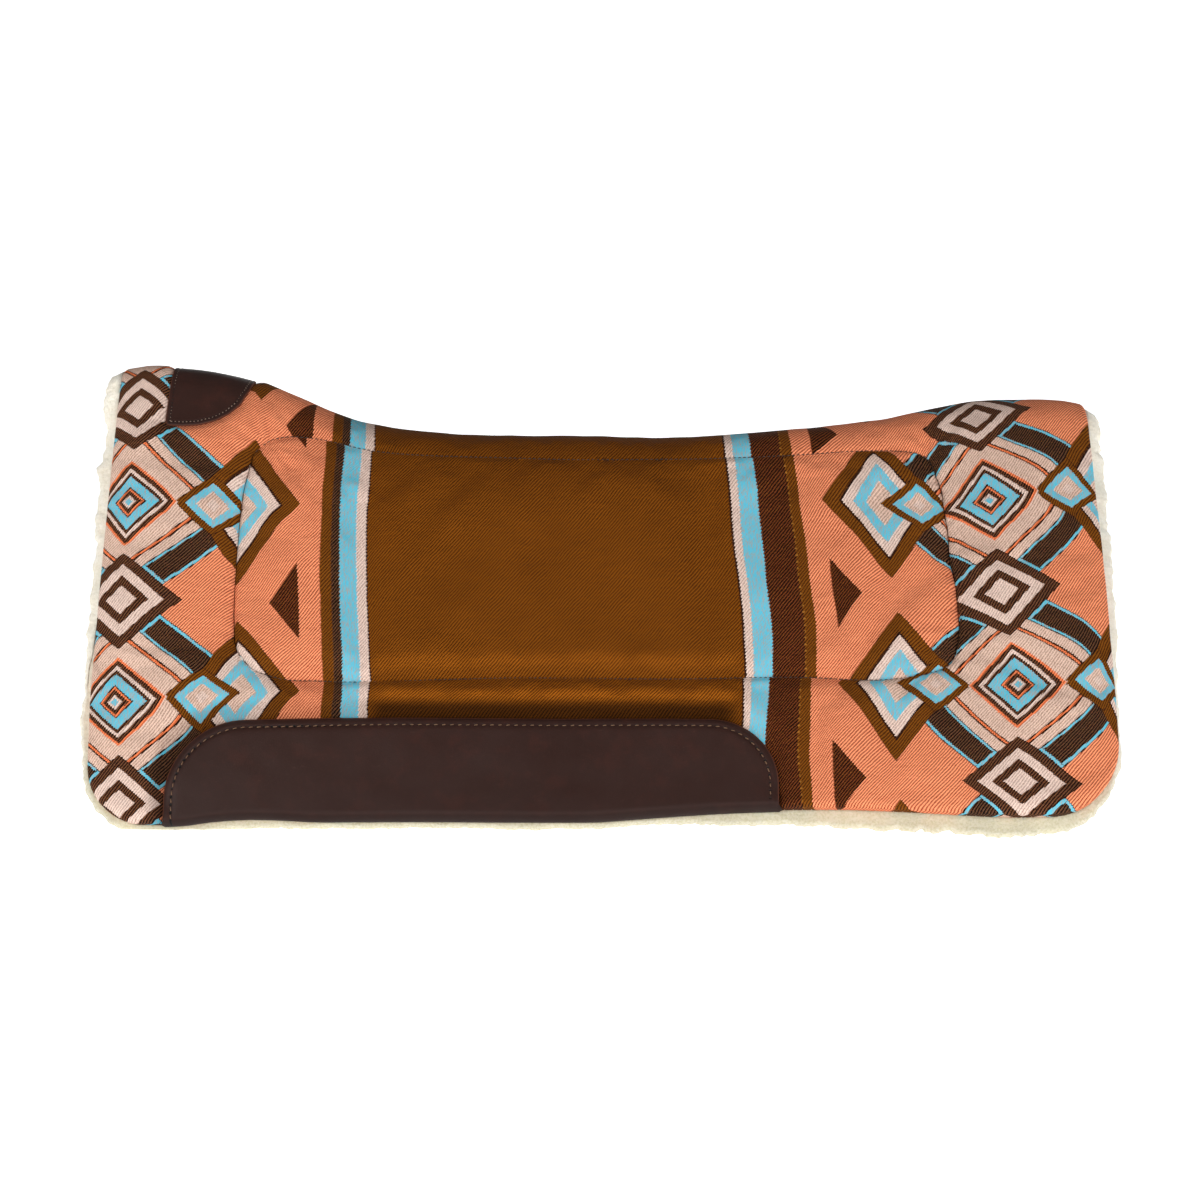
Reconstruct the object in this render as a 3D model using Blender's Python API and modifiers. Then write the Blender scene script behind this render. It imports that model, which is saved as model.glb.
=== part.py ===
"""Western saddle pad, standing like a tent on its two lower edges.

+X runs from the withers end (front) to the rear, -Y is the near side,
+Z is up and the origin is on the floor under the middle of the pad.
All lengths are in metres.

The pad is a stack of layers.  From outside to inside: woven cover, a soft
layer (border wadding with a bar-shaped insert in each side), a felt core
and a fleece lining.  A ridge band lies along the spine, and each side is
hinged to it along the top quilting seam of its bar.
"""
import math

import bmesh
import bpy
import numpy as np
from mathutils import Vector
from mathutils.bvhtree import BVHTree

# --------------------------------------------------------------------------
# driving dimensions
# --------------------------------------------------------------------------
# One row for each station along the ridge: x, crown height, crown radius,
# tilt of the side from the vertical just under the crown and at the lower
# edge (degrees), and how far the lower edge is lifted off the floor.  A
# negative lift is pile that the pad's weight squashes flat on the floor.
STATIONS = np.array([
    (-0.410, 0.3605, 0.028, 29.0, 18.0, -0.0015),
    (-0.360, 0.3660, 0.028, 29.0, 18.0, -0.0015),
    (-0.290, 0.3560, 0.032, 29.0, 18.5, -0.0008),
    (-0.190, 0.3175, 0.042, 30.0, 20.0, 0.0008),
    (-0.050, 0.3080, 0.050, 31.0, 21.0, 0.0010),
    (0.090, 0.3080, 0.050, 32.0, 21.5, 0.0010),
    (0.220, 0.3190, 0.050, 35.0, 23.0, 0.0000),
    (0.310, 0.3355, 0.050, 38.0, 24.0, -0.0015),
    (0.380, 0.3365, 0.050, 39.0, 24.0, -0.0015),
    (0.410, 0.3300, 0.048, 39.5, 24.0, -0.0015),
])
SIDE_DROP = 0.330          # arc over which a side's tilt goes from top to bottom value
FRONT_TOP, FRONT_LOW = 0.3935, 0.4075    # cover's front edge, at the ridge and low down
REAR_TOP, REAR_LOW = 0.4005, 0.4075      # cover's rear edge, at the ridge and low down
CORNER_RADIUS = 0.045      # lower corners of the cover

COVER = 0.0012             # woven cover
WADDING_TOP, WADDING = 0.0016, 0.0058    # soft layer under the cover: depth, thickness
CORE_TOP, CORE = 0.0079, 0.0080          # felt core
FLEECE_TOP, FLEECE = 0.0165, 0.0089      # fleece lining
STACK = FLEECE_TOP + FLEECE
HEM_DEPTH = 0.0158         # the cover is turned down this far over the layers' edge
EDGE_INSET = 0.0026        # layers stop this far inside the cover's edge
FLEECE_PROUD = 0.0060      # fleece stands out past the cover at front and rear
FLEECE_LOW_FRONT, FLEECE_LOW_REAR = 0.0030, 0.0115   # ... and along the lower edge

FOLD_Y, FOLD_Z = 0.0560, 0.3000          # hinge axis of each side, parallel to X
FOLD_CUT = 30.0            # the layers are parted along this slope under the axis (degrees)
FOLD_WEDGE = 13.0          # wedge left open so that the sides can close by 8 degrees
FOLD_GAP = 0.00025

BAR_FRONT, BAR_REAR = -0.287, 0.282      # bar insert, front and rear ends
BAR_ABOVE_EDGE = 0.117     # its lower seam, above the pad's lower edge
BAR_CORNER = 0.024
BAR_SEAM = 0.0050          # room for the seam between insert and wadding

LEATHER = 0.0022           # wear leather and wither patch
LEATHER_LIFT = 0.0005
WEAR_FRONT, WEAR_REAR = -0.3445, 0.1395
WEAR_ABOVE_EDGE = 0.0845   # top edge of the wear leather above the pad's lower edge
WEAR_CORNER_FRONT, WEAR_CORNER_REAR = 0.048, 0.040
STITCH_IN = 0.0060         # leather stitching, inside the leather's edge
PATCH = [(-0.3500, 0.0), (-0.3530, 0.035), (-0.3556, 0.0655), (-0.3430, 0.0665),
         (-0.3290, 0.0645), (-0.3150, 0.0585), (-0.3040, 0.0500), (-0.2950, 0.0395),
         (-0.2880, 0.0220), (-0.2840, 0.0)]      # wither patch: x, arc from the ridge

THREAD = 0.0009            # sewing thread diameter
THREAD_LIFT = 0.00045

COLUMNS = [-1.0, -0.988, -0.962, -0.93, -0.89] + \
    [-0.89 + 1.78 * k / 15 for k in range(1, 15)] + [0.89, 0.93, 0.962, 0.988, 1.0]
SIDE_SPACING = [0.0, 0.035, 0.10, 0.24, 0.40, 0.56, 0.72, 0.87, 1.0]     # rows of a side, fold to edge
SIDE_ROWS = len(SIDE_SPACING) - 1
HALF_RIDGE_ROWS = 4        # rows of the ridge band, ridge to fold

# --------------------------------------------------------------------------
# scene and materials
# --------------------------------------------------------------------------
for old in list(bpy.data.objects):
    bpy.data.objects.remove(old, do_unlink=True)

pad = bpy.data.collections.new("western_saddle_pad")
cutters = bpy.data.collections.new("cutters")
bpy.context.scene.collection.children.link(pad)
bpy.context.scene.collection.children.link(cutters)


def material(name, colour, roughness, metallic=0.0):
    mat = bpy.data.materials.new(name)
    mat.use_nodes = True
    bsdf = mat.node_tree.nodes["Principled BSDF"]
    bsdf.inputs["Base Color"].default_value = (*colour, 1.0)
    bsdf.inputs["Roughness"].default_value = roughness
    bsdf.inputs["Metallic"].default_value = metallic
    mat.diffuse_color = (*colour, 1.0)
    return mat


WOVEN = material("woven_cover", (0.62, 0.22, 0.10), 0.9)
WOVEN_DARK = material("woven_cover_ridge", (0.16, 0.06, 0.012), 0.9)
FELT = material("felt", (0.32, 0.30, 0.27), 0.95)
FILL = material("wadding", (0.85, 0.84, 0.80), 0.95)
FOAM = material("insert_foam", (0.20, 0.21, 0.23), 0.85)
PILE = material("fleece", (0.82, 0.80, 0.66), 1.0)
HIDE = material("leather", (0.050, 0.024, 0.020), 0.45)
SEWING = material("thread", (0.35, 0.20, 0.11), 0.7)


# --------------------------------------------------------------------------
# the outer surface
# --------------------------------------------------------------------------
def station(x):
    """Crown height, crown radius, top tilt, bottom tilt and lift at x, by a cubic through the stations."""
    s = STATIONS
    x = min(max(x, s[0, 0]), s[-1, 0])
    i = min(max(int(np.searchsorted(s[:, 0], x)) - 1, 0), len(s) - 2)

    def slope(k):
        a, b = max(k - 1, 0), min(k + 1, len(s) - 1)
        return (s[b, 1:] - s[a, 1:]) / (s[b, 0] - s[a, 0])

    h = s[i + 1, 0] - s[i, 0]
    q = (x - s[i, 0]) / h
    return ((2 * q**3 - 3 * q**2 + 1) * s[i, 1:] + (q**3 - 2 * q**2 + q) * h * slope(i)
            + (3 * q**2 - 2 * q**3) * s[i + 1, 1:] + (q**3 - q**2) * h * slope(i + 1))


def profile(x, t):
    """Half-width and height of the outer surface, at arc length t down from the ridge."""
    height, radius, top, low, _ = station(x)
    a1, a2 = math.radians(90 - top), math.radians(90 - low)
    crown = radius * a1
    if t <= crown:
        a = t / radius
        return radius * math.sin(a), height - radius * (1 - math.cos(a))
    big = SIDE_DROP / (a2 - a1)
    a = a1 + (t - crown) / big
    return (radius * math.sin(a1) + big * (math.sin(a) - math.sin(a1)),
            height - radius * (1 - math.cos(a1)) - big * (math.cos(a1) - math.cos(a)))


def lower_edge(x):
    """Arc length at which the fleece's inner corner stands on the floor."""
    height, radius, top, low, lift = station(x)
    a1, a2 = math.radians(90 - top), math.radians(90 - low)
    big = SIDE_DROP / (a2 - a1)
    z1 = height - radius * (1 - math.cos(a1))
    t = 0.36
    for _ in range(6):
        a = a1 + (t - radius * a1) / big
        z = lift + STACK * math.cos(a)
        a = math.acos(math.cos(a1) - (z1 - z) / big)
        t = radius * a1 + (a - a1) * big
    return t


def outer(x, q):
    """Outer surface; q is the arc from the ridge, negative on the near side."""
    y, z = profile(x, abs(q))
    return np.array((x, math.copysign(y, q), z))


def surface(x, q, n=0.0):
    """A point n above the outer surface, along its normal."""
    e = 0.0004
    normal = np.cross(outer(x + e, q) - outer(x - e, q), outer(x, q + e) - outer(x, q - e))
    normal /= np.linalg.norm(normal)
    return outer(x, q) + n * normal


def fleece_overhang(x):
    f = min(max((x + 0.02) / 0.17, 0.0), 1.0)
    f = f * f * (3 - 2 * f)
    return FLEECE_LOW_FRONT + (FLEECE_LOW_REAR - FLEECE_LOW_FRONT) * f


def along(u, t):
    """x of column u at arc t: the front and rear edges spread a little downwards."""
    f = min(t / 0.30, 1.0)
    if u < 0:
        return u * (FRONT_TOP + (FRONT_LOW - FRONT_TOP) * f)
    return u * (REAR_TOP + (REAR_LOW - REAR_TOP) * f)


def cover_edge(u):
    """Arc length of the cover's lower edge at column u, with its rounded corners."""
    x = along(u, 0.35)
    t = lower_edge(x) - fleece_overhang(x)
    reach = abs(x) - ((FRONT_LOW if u < 0 else REAR_LOW) - CORNER_RADIUS)
    if reach > 0:
        reach = min(reach, CORNER_RADIUS)
        t -= CORNER_RADIUS - math.sqrt(CORNER_RADIUS**2 - reach**2)
    return t


def fold_side(x, t, n, slope):
    """Signed distance of a surface point above the plane that slopes in from the hinge axis."""
    p = surface(x, -t, n)
    a = math.radians(slope)
    return -(abs(p[1]) - FOLD_Y) * math.sin(a) + (p[2] - FOLD_Z) * math.cos(a)


def fold_arc(u, depth_a, depth_b, below):
    """Arc length where a layer between two depths is parted at the fold, above or below it."""
    slope = FOLD_CUT + (FOLD_WEDGE if below else 0.0)
    found = []
    for depth in (depth_a, depth_b):
        lo, hi = 0.005, 0.16
        for _ in range(40):
            mid = (lo + hi) / 2
            if fold_side(along(u, mid), mid, -depth, slope) > (-FOLD_GAP if below else FOLD_GAP):
                lo = mid
            else:
                hi = mid
        found.append((lo + hi) / 2)
    return max(found) if below else min(found)


def ridge_rows(u, end):
    """Arcs of a layer's rows from the ridge to its end at the fold; only the last differs between layers."""
    x = along(u, 0.0)
    _, radius, top, _, _ = station(x)
    shared = fold_arc(u, 0.0, STACK, False)
    bend = min(radius * math.radians(90 - top), 0.75 * shared)
    return [0.0, bend / 3, bend * 2 / 3, bend, end]


def side_rows(u, start):
    """Arcs of a layer's rows from the fold to the lower edge; only the first differs between layers."""
    shared = fold_arc(u, 0.0, STACK, True)
    low = cover_edge(u)
    return [start] + [shared + (low - shared) * f for f in SIDE_SPACING[1:]]


# --------------------------------------------------------------------------
# sheets of the stack
# --------------------------------------------------------------------------
def keep(ob, name, mat, smooth=True):
    for c in list(ob.users_collection):
        c.objects.unlink(ob)
    pad.objects.link(ob)
    ob.name = name
    ob.data.name = name
    ob.data.materials.clear()
    ob.data.materials.append(mat)
    if smooth and ob.type == "MESH":
        ob.data.shade_smooth()
        ob.data.set_sharp_from_angle(angle=math.radians(35))
    return ob


def sheet(name, mat, region, depth, thickness, inset=0.0, proud=0.0, hem=0.0):
    """One layer of one region, as a grid over the outer surface, solidified inwards.

    region is 'near', 'far', 'ridge', 'ridge_near' or 'ridge_far'.  inset draws the free
    edges in, proud adds a strip past them, and hem turns the sheet down over them.
    """
    sign = 1.0 if region in ("far", "ridge_far") else -1.0
    rows = {"near": SIDE_ROWS, "far": SIDE_ROWS, "ridge": 2 * HALF_RIDGE_ROWS}.get(region, HALF_RIDGE_ROWS)
    cols = len(COLUMNS) - 1

    deep = max(depth + thickness, hem)
    place = {}
    for i, u in enumerate(COLUMNS):
        if region in ("near", "far"):
            arcs = [sign * t for t in side_rows(u, fold_arc(u, depth, deep, True))]
            if sign < 0:
                arcs.reverse()
        elif region == "ridge":
            half = ridge_rows(u, fold_arc(u, depth, deep, False))
            arcs = [-t for t in half[:0:-1]] + half
        else:
            half = ridge_rows(u, fold_arc(u, depth, deep, False))
            arcs = [sign * max(t, 0.0003) for t in half]
            if sign < 0:
                arcs.reverse()
        for j, q in enumerate(arcs):
            place[i, j] = (along(u, abs(q)), q)

    # free outline, in order, with its outward direction in the sheet
    if region == "near":
        loop = [(0, j) for j in range(rows, 0, -1)] + [(i, 0) for i in range(cols + 1)] + \
               [(cols, j) for j in range(1, rows + 1)]
        chains = [loop]
    elif region == "far":
        loop = [(0, j) for j in range(rows)] + [(i, rows) for i in range(cols + 1)] + \
               [(cols, j) for j in range(rows - 1, -1, -1)]
        chains = [loop]
    else:
        chains = [[(0, j) for j in range(rows + 1)], [(cols, j) for j in range(rows + 1)]]
    away = {}
    for chain in chains:
        for k, key in enumerate(chain):
            a, b = place[chain[max(k - 1, 0)]], place[chain[min(k + 1, len(chain) - 1)]]
            d = np.array((b[0] - a[0], b[1] - a[1]))
            if k in (0, len(chain) - 1):
                d = np.array((0.0, 1.0))
            w = np.array((d[1], -d[0])) / np.linalg.norm(d)
            centre = np.array((0.0, 0.22 * sign if len(chains) == 1 else place[key][1]))
            if np.dot(w, np.array(place[key]) - centre) < 0:
                w = -w
            away[key] = w

    bpy.ops.mesh.primitive_grid_add(x_subdivisions=cols, y_subdivisions=rows, size=2.0)
    ob = bpy.context.active_object
    bm = bmesh.new()
    bm.from_mesh(ob.data)
    free = {}
    for v in bm.verts:
        key = (round((v.co.x + 1) * cols / 2), round((v.co.y + 1) * rows / 2))
        x, q = place[key]
        if key in away:
            x -= inset * away[key][0]
            q -= inset * away[key][1]
            free[v] = (x, q, away[key])
        v.co = Vector(surface(x, q, -depth))
    if proud or hem:
        rim = [e for e in bm.edges if e.is_boundary and e.verts[0] in free and e.verts[1] in free]
        before = {v: free[v] for v in free}
        made = bmesh.ops.extrude_edge_only(bm, edges=rim)["geom"]
        old = {tuple(round(c, 7) for c in v.co): d for v, d in before.items()}
        for v in made:
            if isinstance(v, bmesh.types.BMVert):
                x, q, w = old[tuple(round(c, 7) for c in v.co)]
                if hem:
                    v.co = Vector(surface(x, q, -hem))
                else:
                    low = abs(w[1])
                    reach = FLEECE_PROUD * (1 - low) + fleece_overhang(x) * low
                    v.co = Vector(surface(x + reach * w[0], q + reach * w[1], -depth))
    # the same diagonal in every layer, so that the layers stay parallel
    bmesh.ops.triangulate(bm, faces=bm.faces, quad_method="FIXED")
    bm.normal_update()
    bm.to_mesh(ob.data)
    bm.free()
    solid = ob.modifiers.new("thickness", "SOLIDIFY")
    solid.thickness = thickness
    solid.offset = -1.0
    solid.use_even_offset = True
    return keep(ob, name, mat)


# --------------------------------------------------------------------------
# outlines cut out of a sheet
# --------------------------------------------------------------------------
def rounded(x0, x1, top, low, r0, r1, r_low=0.0, step=6):
    """Outline in (x, arc): ends x0 and x1, top and low edges as functions of x, corner radii."""
    pts = []

    def corner(cx, ct_at, r, a0, a1, edge, sense):
        for k in range(step + 1):
            a = math.radians(a0 + (a1 - a0) * k / step)
            x = cx + r * math.cos(a)
            pts.append((x, edge(x) + sense * (r - r * math.sin(a))))

    n = 12
    if r_low:
        corner(x0 + r_low, None, r_low, 180, 90, low, -1)
        for k in range(1, n):
            x = x0 + r_low + (x1 - x0 - 2 * r_low) * k / n
            pts.append((x, low(x)))
        corner(x1 - r_low, None, r_low, 90, 0, low, -1)
    else:
        for k in range(n + 1):
            x = x0 + (x1 - x0) * k / n
            pts.append((x, low(x)))
    if r0:
        corner(x1 - r1, None, r1, 0, 90, top, 1)
        for k in range(1, n):
            x = x1 - r1 + (x0 + r0 - x1 + r1) * k / n
            pts.append((x, top(x)))
        corner(x0 + r0, None, r0, 90, 180, top, 1)
    else:
        for k in range(n + 1):
            x = x1 + (x0 - x1) * k / n
            pts.append((x, top(x)))
    return pts


def prism(name, outline, sign, tilt, reach):
    """A cutter: the outline on the surface, swept along the side's mean normal (tilt in degrees)."""
    a = math.radians(tilt)
    out = Vector((0.0, sign * math.cos(a), math.sin(a)))
    down = Vector((0.0, sign * math.sin(a), -math.cos(a)))
    along_x = Vector((1.0, 0.0, 0.0))
    base = Vector((0.0, sign * FOLD_Y, FOLD_Z))
    flat = []
    level = 0.0
    for x, t in outline:
        p = Vector(outer(x, sign * t)) - base
        flat.append((p.dot(along_x), p.dot(down)))
        level += p.dot(out) / len(outline)
    curve = bpy.data.curves.new(name, "CURVE")
    curve.dimensions = "2D"
    curve.fill_mode = "BOTH"
    curve.extrude = reach
    spline = curve.splines.new("POLY")
    spline.points.add(len(flat) - 1)
    for point, (x, d) in zip(spline.points, flat):
        point.co = (x, d, 0.0, 1.0)
    spline.use_cyclic_u = True
    shape = bpy.data.objects.new(name + "_curve", curve)
    bpy.context.scene.collection.objects.link(shape)
    bpy.context.view_layer.update()
    mesh = bpy.data.meshes.new_from_object(shape.evaluated_get(bpy.context.evaluated_depsgraph_get()))
    bm = bmesh.new()
    bm.from_mesh(mesh)
    bmesh.ops.remove_doubles(bm, verts=bm.verts, dist=0.00002)
    for v in bm.verts:
        v.co = base + along_x * v.co.x + down * v.co.y + out * (level + v.co.z)
    bm.normal_update()
    bmesh.ops.recalc_face_normals(bm, faces=bm.faces)
    bm.to_mesh(mesh)
    bm.free()
    bpy.data.objects.remove(shape, do_unlink=True)
    ob = bpy.data.objects.new(name, mesh)
    cutters.objects.link(ob)
    ob.hide_render = True
    ob.display_type = "WIRE"
    return ob


def cut(ob, cutter, operation):
    mod = ob.modifiers.new("cut", "BOOLEAN")
    mod.operation = operation
    mod.object = cutter
    return ob


def bar_top(x):
    return 0.0


def bar_low(x):
    return lower_edge(x) - BAR_ABOVE_EDGE


def grown(outline, d):
    """The same outline with every point moved outwards by d in the sheet."""
    area = sum(a[0] * b[1] - b[0] * a[1] for a, b in zip(outline, outline[1:] + outline[:1]))
    s = 1.0 if area > 0 else -1.0
    result = []
    count = len(outline)
    for k in range(count):
        a, b = outline[k - 1], outline[(k + 1) % count]
        dx, dt = b[0] - a[0], b[1] - a[1]
        length = math.hypot(dx, dt) or 1.0
        result.append((outline[k][0] + s * d * dt / length, outline[k][1] - s * d * dx / length))
    return result


# --------------------------------------------------------------------------
# threads
# --------------------------------------------------------------------------
def evaluated_tree(ob):
    bpy.context.view_layer.update()
    return BVHTree.FromObject(ob, bpy.context.evaluated_depsgraph_get())


def bends(points, slack):
    """The points that a polyline needs to stay within slack of all of them."""
    a, b = points[0], points[-1]
    line = b - a
    worst, at = 0.0, 0
    for k in range(1, len(points) - 1):
        off = points[k] - a
        if line.length > 1e-9:
            off = off - line * (off.dot(line) / line.length_squared)
        if off.length > worst:
            worst, at = off.length, k
    if worst <= slack:
        return [a, b]
    return bends(points[:at + 1], slack)[:-1] + bends(points[at:], slack)


def thread(name, path, under, closed, lift=THREAD_LIFT):
    """A thread along a path of (x, signed arc), lying on top of the pieces under it."""
    trees = [evaluated_tree(o) for o in under]
    run = list(path) + ([path[0]] if closed else [])
    spots = []
    for a, b in zip(run, run[1:]):
        n = max(1, int(math.ceil(math.hypot(b[0] - a[0], b[1] - a[1]) / 0.002)))
        spots += [(a[0] + (b[0] - a[0]) * m / n, a[1] + (b[1] - a[1]) * m / n) for m in range(n)]
    spots.append(run[-1])
    points = []
    for x, q in spots:
        foot, head = Vector(surface(x, q, 0.0)), Vector(surface(x, q, 0.02))
        normal = (head - foot) / 0.02
        hits = [tree.ray_cast(head, -normal, 0.04) for tree in trees]
        hits = [h for h in hits if h[0] is not None]
        spot = min(hits, key=lambda h: h[3])[0] if hits else foot
        points.append(spot + normal * (THREAD / 2 + lift))
    half = len(points) // 2
    slack = 0.00018
    points = bends(points[:half + 1], slack)[:-1] + bends(points[half:], slack)
    if closed:
        points = points[:-1]
    curve = bpy.data.curves.new(name, "CURVE")
    curve.dimensions = "3D"
    curve.bevel_depth = THREAD / 2
    curve.bevel_resolution = 1
    curve.use_fill_caps = True
    curve.twist_mode = "MINIMUM"
    spline = curve.splines.new("POLY")
    spline.points.add(len(points) - 1)
    for point, co in zip(spline.points, points):
        point.co = (*co, 1.0)
    spline.use_cyclic_u = closed
    ob = bpy.data.objects.new(name, curve)
    pad.objects.link(ob)
    ob.data.materials.append(SEWING)
    return ob


def on_side(path, sign):
    return [(x, sign * t) for x, t in path]


# --------------------------------------------------------------------------
# ridge band
# --------------------------------------------------------------------------
ridge_cover_near = sheet("cover_ridge_near", WOVEN_DARK, "ridge_near", 0.0, COVER, hem=HEM_DEPTH)
ridge_cover_far = sheet("cover_ridge_far", WOVEN_DARK, "ridge_far", 0.0, COVER, hem=HEM_DEPTH)
sheet("wadding_ridge", FILL, "ridge", WADDING_TOP, WADDING, inset=EDGE_INSET)
sheet("core_ridge", FELT, "ridge", CORE_TOP, CORE, inset=EDGE_INSET)
sheet("fleece_ridge", PILE, "ridge", FLEECE_TOP, FLEECE, proud=1.0)

patch = sheet("wither_patch", HIDE, "ridge", -LEATHER_LIFT - LEATHER, LEATHER, inset=0.003)
patch_outline = PATCH
# seen from the side the patch is the same on both sides, so one cutter runs right across
flat = [outer(x, -t) for x, t in patch_outline]
side_view = [(p[0], p[2]) for p in flat]
side_view = [(side_view[0][0], side_view[0][1] + 0.02)] + side_view[1:-1] + \
            [(side_view[-1][0], side_view[-1][1] + 0.02)]
patch_curve = bpy.data.curves.new("patch_outline", "CURVE")
patch_curve.dimensions = "2D"
patch_curve.fill_mode = "BOTH"
patch_curve.extrude = 0.12
patch_spline = patch_curve.splines.new("POLY")
patch_spline.points.add(len(side_view) - 1)
for point, (x, z) in zip(patch_spline.points, side_view):
    point.co = (x, z, 0.0, 1.0)
patch_spline.use_cyclic_u = True
patch_shape = bpy.data.objects.new("patch_outline", patch_curve)
patch_shape.rotation_euler = (math.radians(90), 0.0, 0.0)
bpy.context.scene.collection.objects.link(patch_shape)
bpy.context.view_layer.update()
patch_mesh = bpy.data.meshes.new_from_object(
    patch_shape.evaluated_get(bpy.context.evaluated_depsgraph_get()))
bm = bmesh.new()
bm.from_mesh(patch_mesh)
bmesh.ops.remove_doubles(bm, verts=bm.verts, dist=0.00002)
bmesh.ops.recalc_face_normals(bm, faces=bm.faces)
bm.to_mesh(patch_mesh)
bm.free()
patch_cutter = bpy.data.objects.new("patch_cutter", patch_mesh)
patch_cutter.matrix_world = patch_shape.matrix_world.copy()
cutters.objects.link(patch_cutter)
patch_cutter.hide_render = True
patch_cutter.display_type = "WIRE"
bpy.data.objects.remove(patch_shape, do_unlink=True)
cut(patch, patch_cutter, "INTERSECT")

# --------------------------------------------------------------------------
# the two sides
# --------------------------------------------------------------------------
bpy.ops.mesh.primitive_cube_add(size=1.0)
floor = bpy.context.active_object
floor.name = "floor_cutter"
for c in list(floor.users_collection):
    c.objects.unlink(floor)
cutters.objects.link(floor)
for v in floor.data.vertices:
    v.co = Vector((v.co.x * 1.2, v.co.y * 0.8, (v.co.z - 0.5) * 0.05))
floor.hide_render = True
floor.display_type = "WIRE"

for region, sign in (("near", -1.0), ("far", 1.0)):
    cover = sheet("cover_" + region, WOVEN, region, 0.0, COVER, hem=HEM_DEPTH)
    sheet("core_" + region, FELT, region, CORE_TOP, CORE, inset=EDGE_INSET)
    fleece = sheet("fleece_" + region, PILE, region, FLEECE_TOP, FLEECE, proud=1.0)
    cut(fleece, floor, "DIFFERENCE")

    bar = rounded(BAR_FRONT, BAR_REAR, bar_top, bar_low, 0.0, 0.0, r_low=BAR_CORNER)
    insert = sheet("bar_insert_" + region, FOAM, region, WADDING_TOP, WADDING, inset=EDGE_INSET)
    cut(insert, prism("bar_cutter_" + region, bar, sign, 30.0, 0.06), "INTERSECT")
    border = sheet("border_wadding_" + region, FILL, region, WADDING_TOP, WADDING, inset=EDGE_INSET)
    cut(border, prism("border_cutter_" + region, grown(bar, BAR_SEAM), sign, 30.0, 0.06), "DIFFERENCE")

    wear_line = rounded(WEAR_FRONT, WEAR_REAR, lambda x: lower_edge(x) - WEAR_ABOVE_EDGE,
                        lambda x: lower_edge(x) + 0.02, WEAR_CORNER_FRONT, WEAR_CORNER_REAR)
    leather = sheet("wear_leather_" + region, HIDE, region, -LEATHER_LIFT - LEATHER, LEATHER, inset=0.0012)
    cut(leather, prism("wear_cutter_" + region, wear_line, sign, 21.0, 0.03), "INTERSECT")

    # quilting thread round the bar, just under the fold along the top
    inside = rounded(BAR_FRONT - 0.0025, BAR_REAR + 0.0025, bar_top, lambda x: bar_low(x) + 0.0025,
                     0.0, 0.0, r_low=BAR_CORNER)
    low = [p for p in inside if p[1] > 0.01]
    top = []
    for k in range(13):
        x = BAR_REAR + (BAR_FRONT - BAR_REAR) * k / 12
        top.append((x, fold_arc(x / 0.40, 0.0, COVER, True) + 0.0045))
    thread("quilting_thread_" + region, on_side(low + top, sign), [cover], True)

    stitch = rounded(WEAR_FRONT + STITCH_IN, WEAR_REAR - STITCH_IN,
                     lambda x: lower_edge(x) - WEAR_ABOVE_EDGE + STITCH_IN,
                     lambda x: lower_edge(x) - fleece_overhang(x) - 0.0012 - STITCH_IN,
                     WEAR_CORNER_FRONT - STITCH_IN, WEAR_CORNER_REAR - STITCH_IN)
    # the front end of the lower edge rises with the pad's rounded corner
    line = []
    for x, t in stitch:
        u = x / (FRONT_LOW if x < 0 else REAR_LOW)
        line.append((x, min(t, cover_edge(u) - 0.0012 - STITCH_IN)))
    thread("wear_leather_thread_" + region, on_side(line, sign), [leather], True)

    # hem stitching: the cover is sewn down through the fleece just inside its edge
    hem = []
    for u in COLUMNS[1:-1]:
        hem.append((along(u, 0.35), cover_edge(u) - 0.0045))
    front = [(along(-1.0, t) + 0.0045, t) for t in
             [fold_arc(-1.0, 0.0, COVER, True) + 0.004 + 0.035 * k for k in range(8)]]
    rear = [(along(1.0, t) - 0.0045, t) for t in
            [fold_arc(1.0, 0.0, COVER, True) + 0.004 + 0.035 * k for k in range(8)]]
    front_hem = [p for p in front if p[1] < cover_edge(-1.0) - 0.003]
    rear_hem = [p for p in rear if p[1] < cover_edge(1.0) - 0.003]
    # the wear leather covers part of the lower hem, so the stitching is under its line there
    rear_part = [p for p in hem if p[0] > WEAR_REAR + 0.006]
    front_part = [p for p in hem if p[0] < WEAR_FRONT - 0.006]
    thread("hem_thread_rear_" + region, on_side(rear_part + rear_hem[::-1], sign), [cover], False)
    thread("hem_thread_front_" + region, on_side(front_part[::-1] + front_hem[::-1], sign), [cover], False)

# --------------------------------------------------------------------------
# threads of the ridge band
# --------------------------------------------------------------------------
rim = [(x, t) for x, t in PATCH]
inner = []
centre = (-0.322, 0.0)
for k, (x, t) in enumerate(rim):
    a, b = rim[max(k - 1, 0)], rim[min(k + 1, len(rim) - 1)]
    dx, dt = b[0] - a[0], b[1] - a[1]
    length = math.hypot(dx, dt)
    inner.append((x + 0.0035 * dt / length * 1.0, t - 0.0035 * dx / length))
inner[2] = (rim[2][0] + 0.0040, rim[2][1] - 0.0038)
near_half = [(x, max(t, 0.0)) for x, t in inner]
near_half[0] = (near_half[0][0], 0.0)
near_half[-1] = (near_half[-1][0], 0.0)


loop = [(x, -t) for x, t in near_half] + [(x, t) for x, t in near_half[-2:0:-1]]
thread("wither_patch_thread", loop, [patch], True)
seam = [(along(u, 0.0), -0.0022) for u in COLUMNS if -0.27 < along(u, 0.0) < 0.395]
thread("ridge_seam_thread", [(-0.277, -0.0022)] + seam, [ridge_cover_near], False)
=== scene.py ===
import math

import bpy
import numpy as np
from mathutils import Matrix, Vector, kdtree, noise


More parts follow.
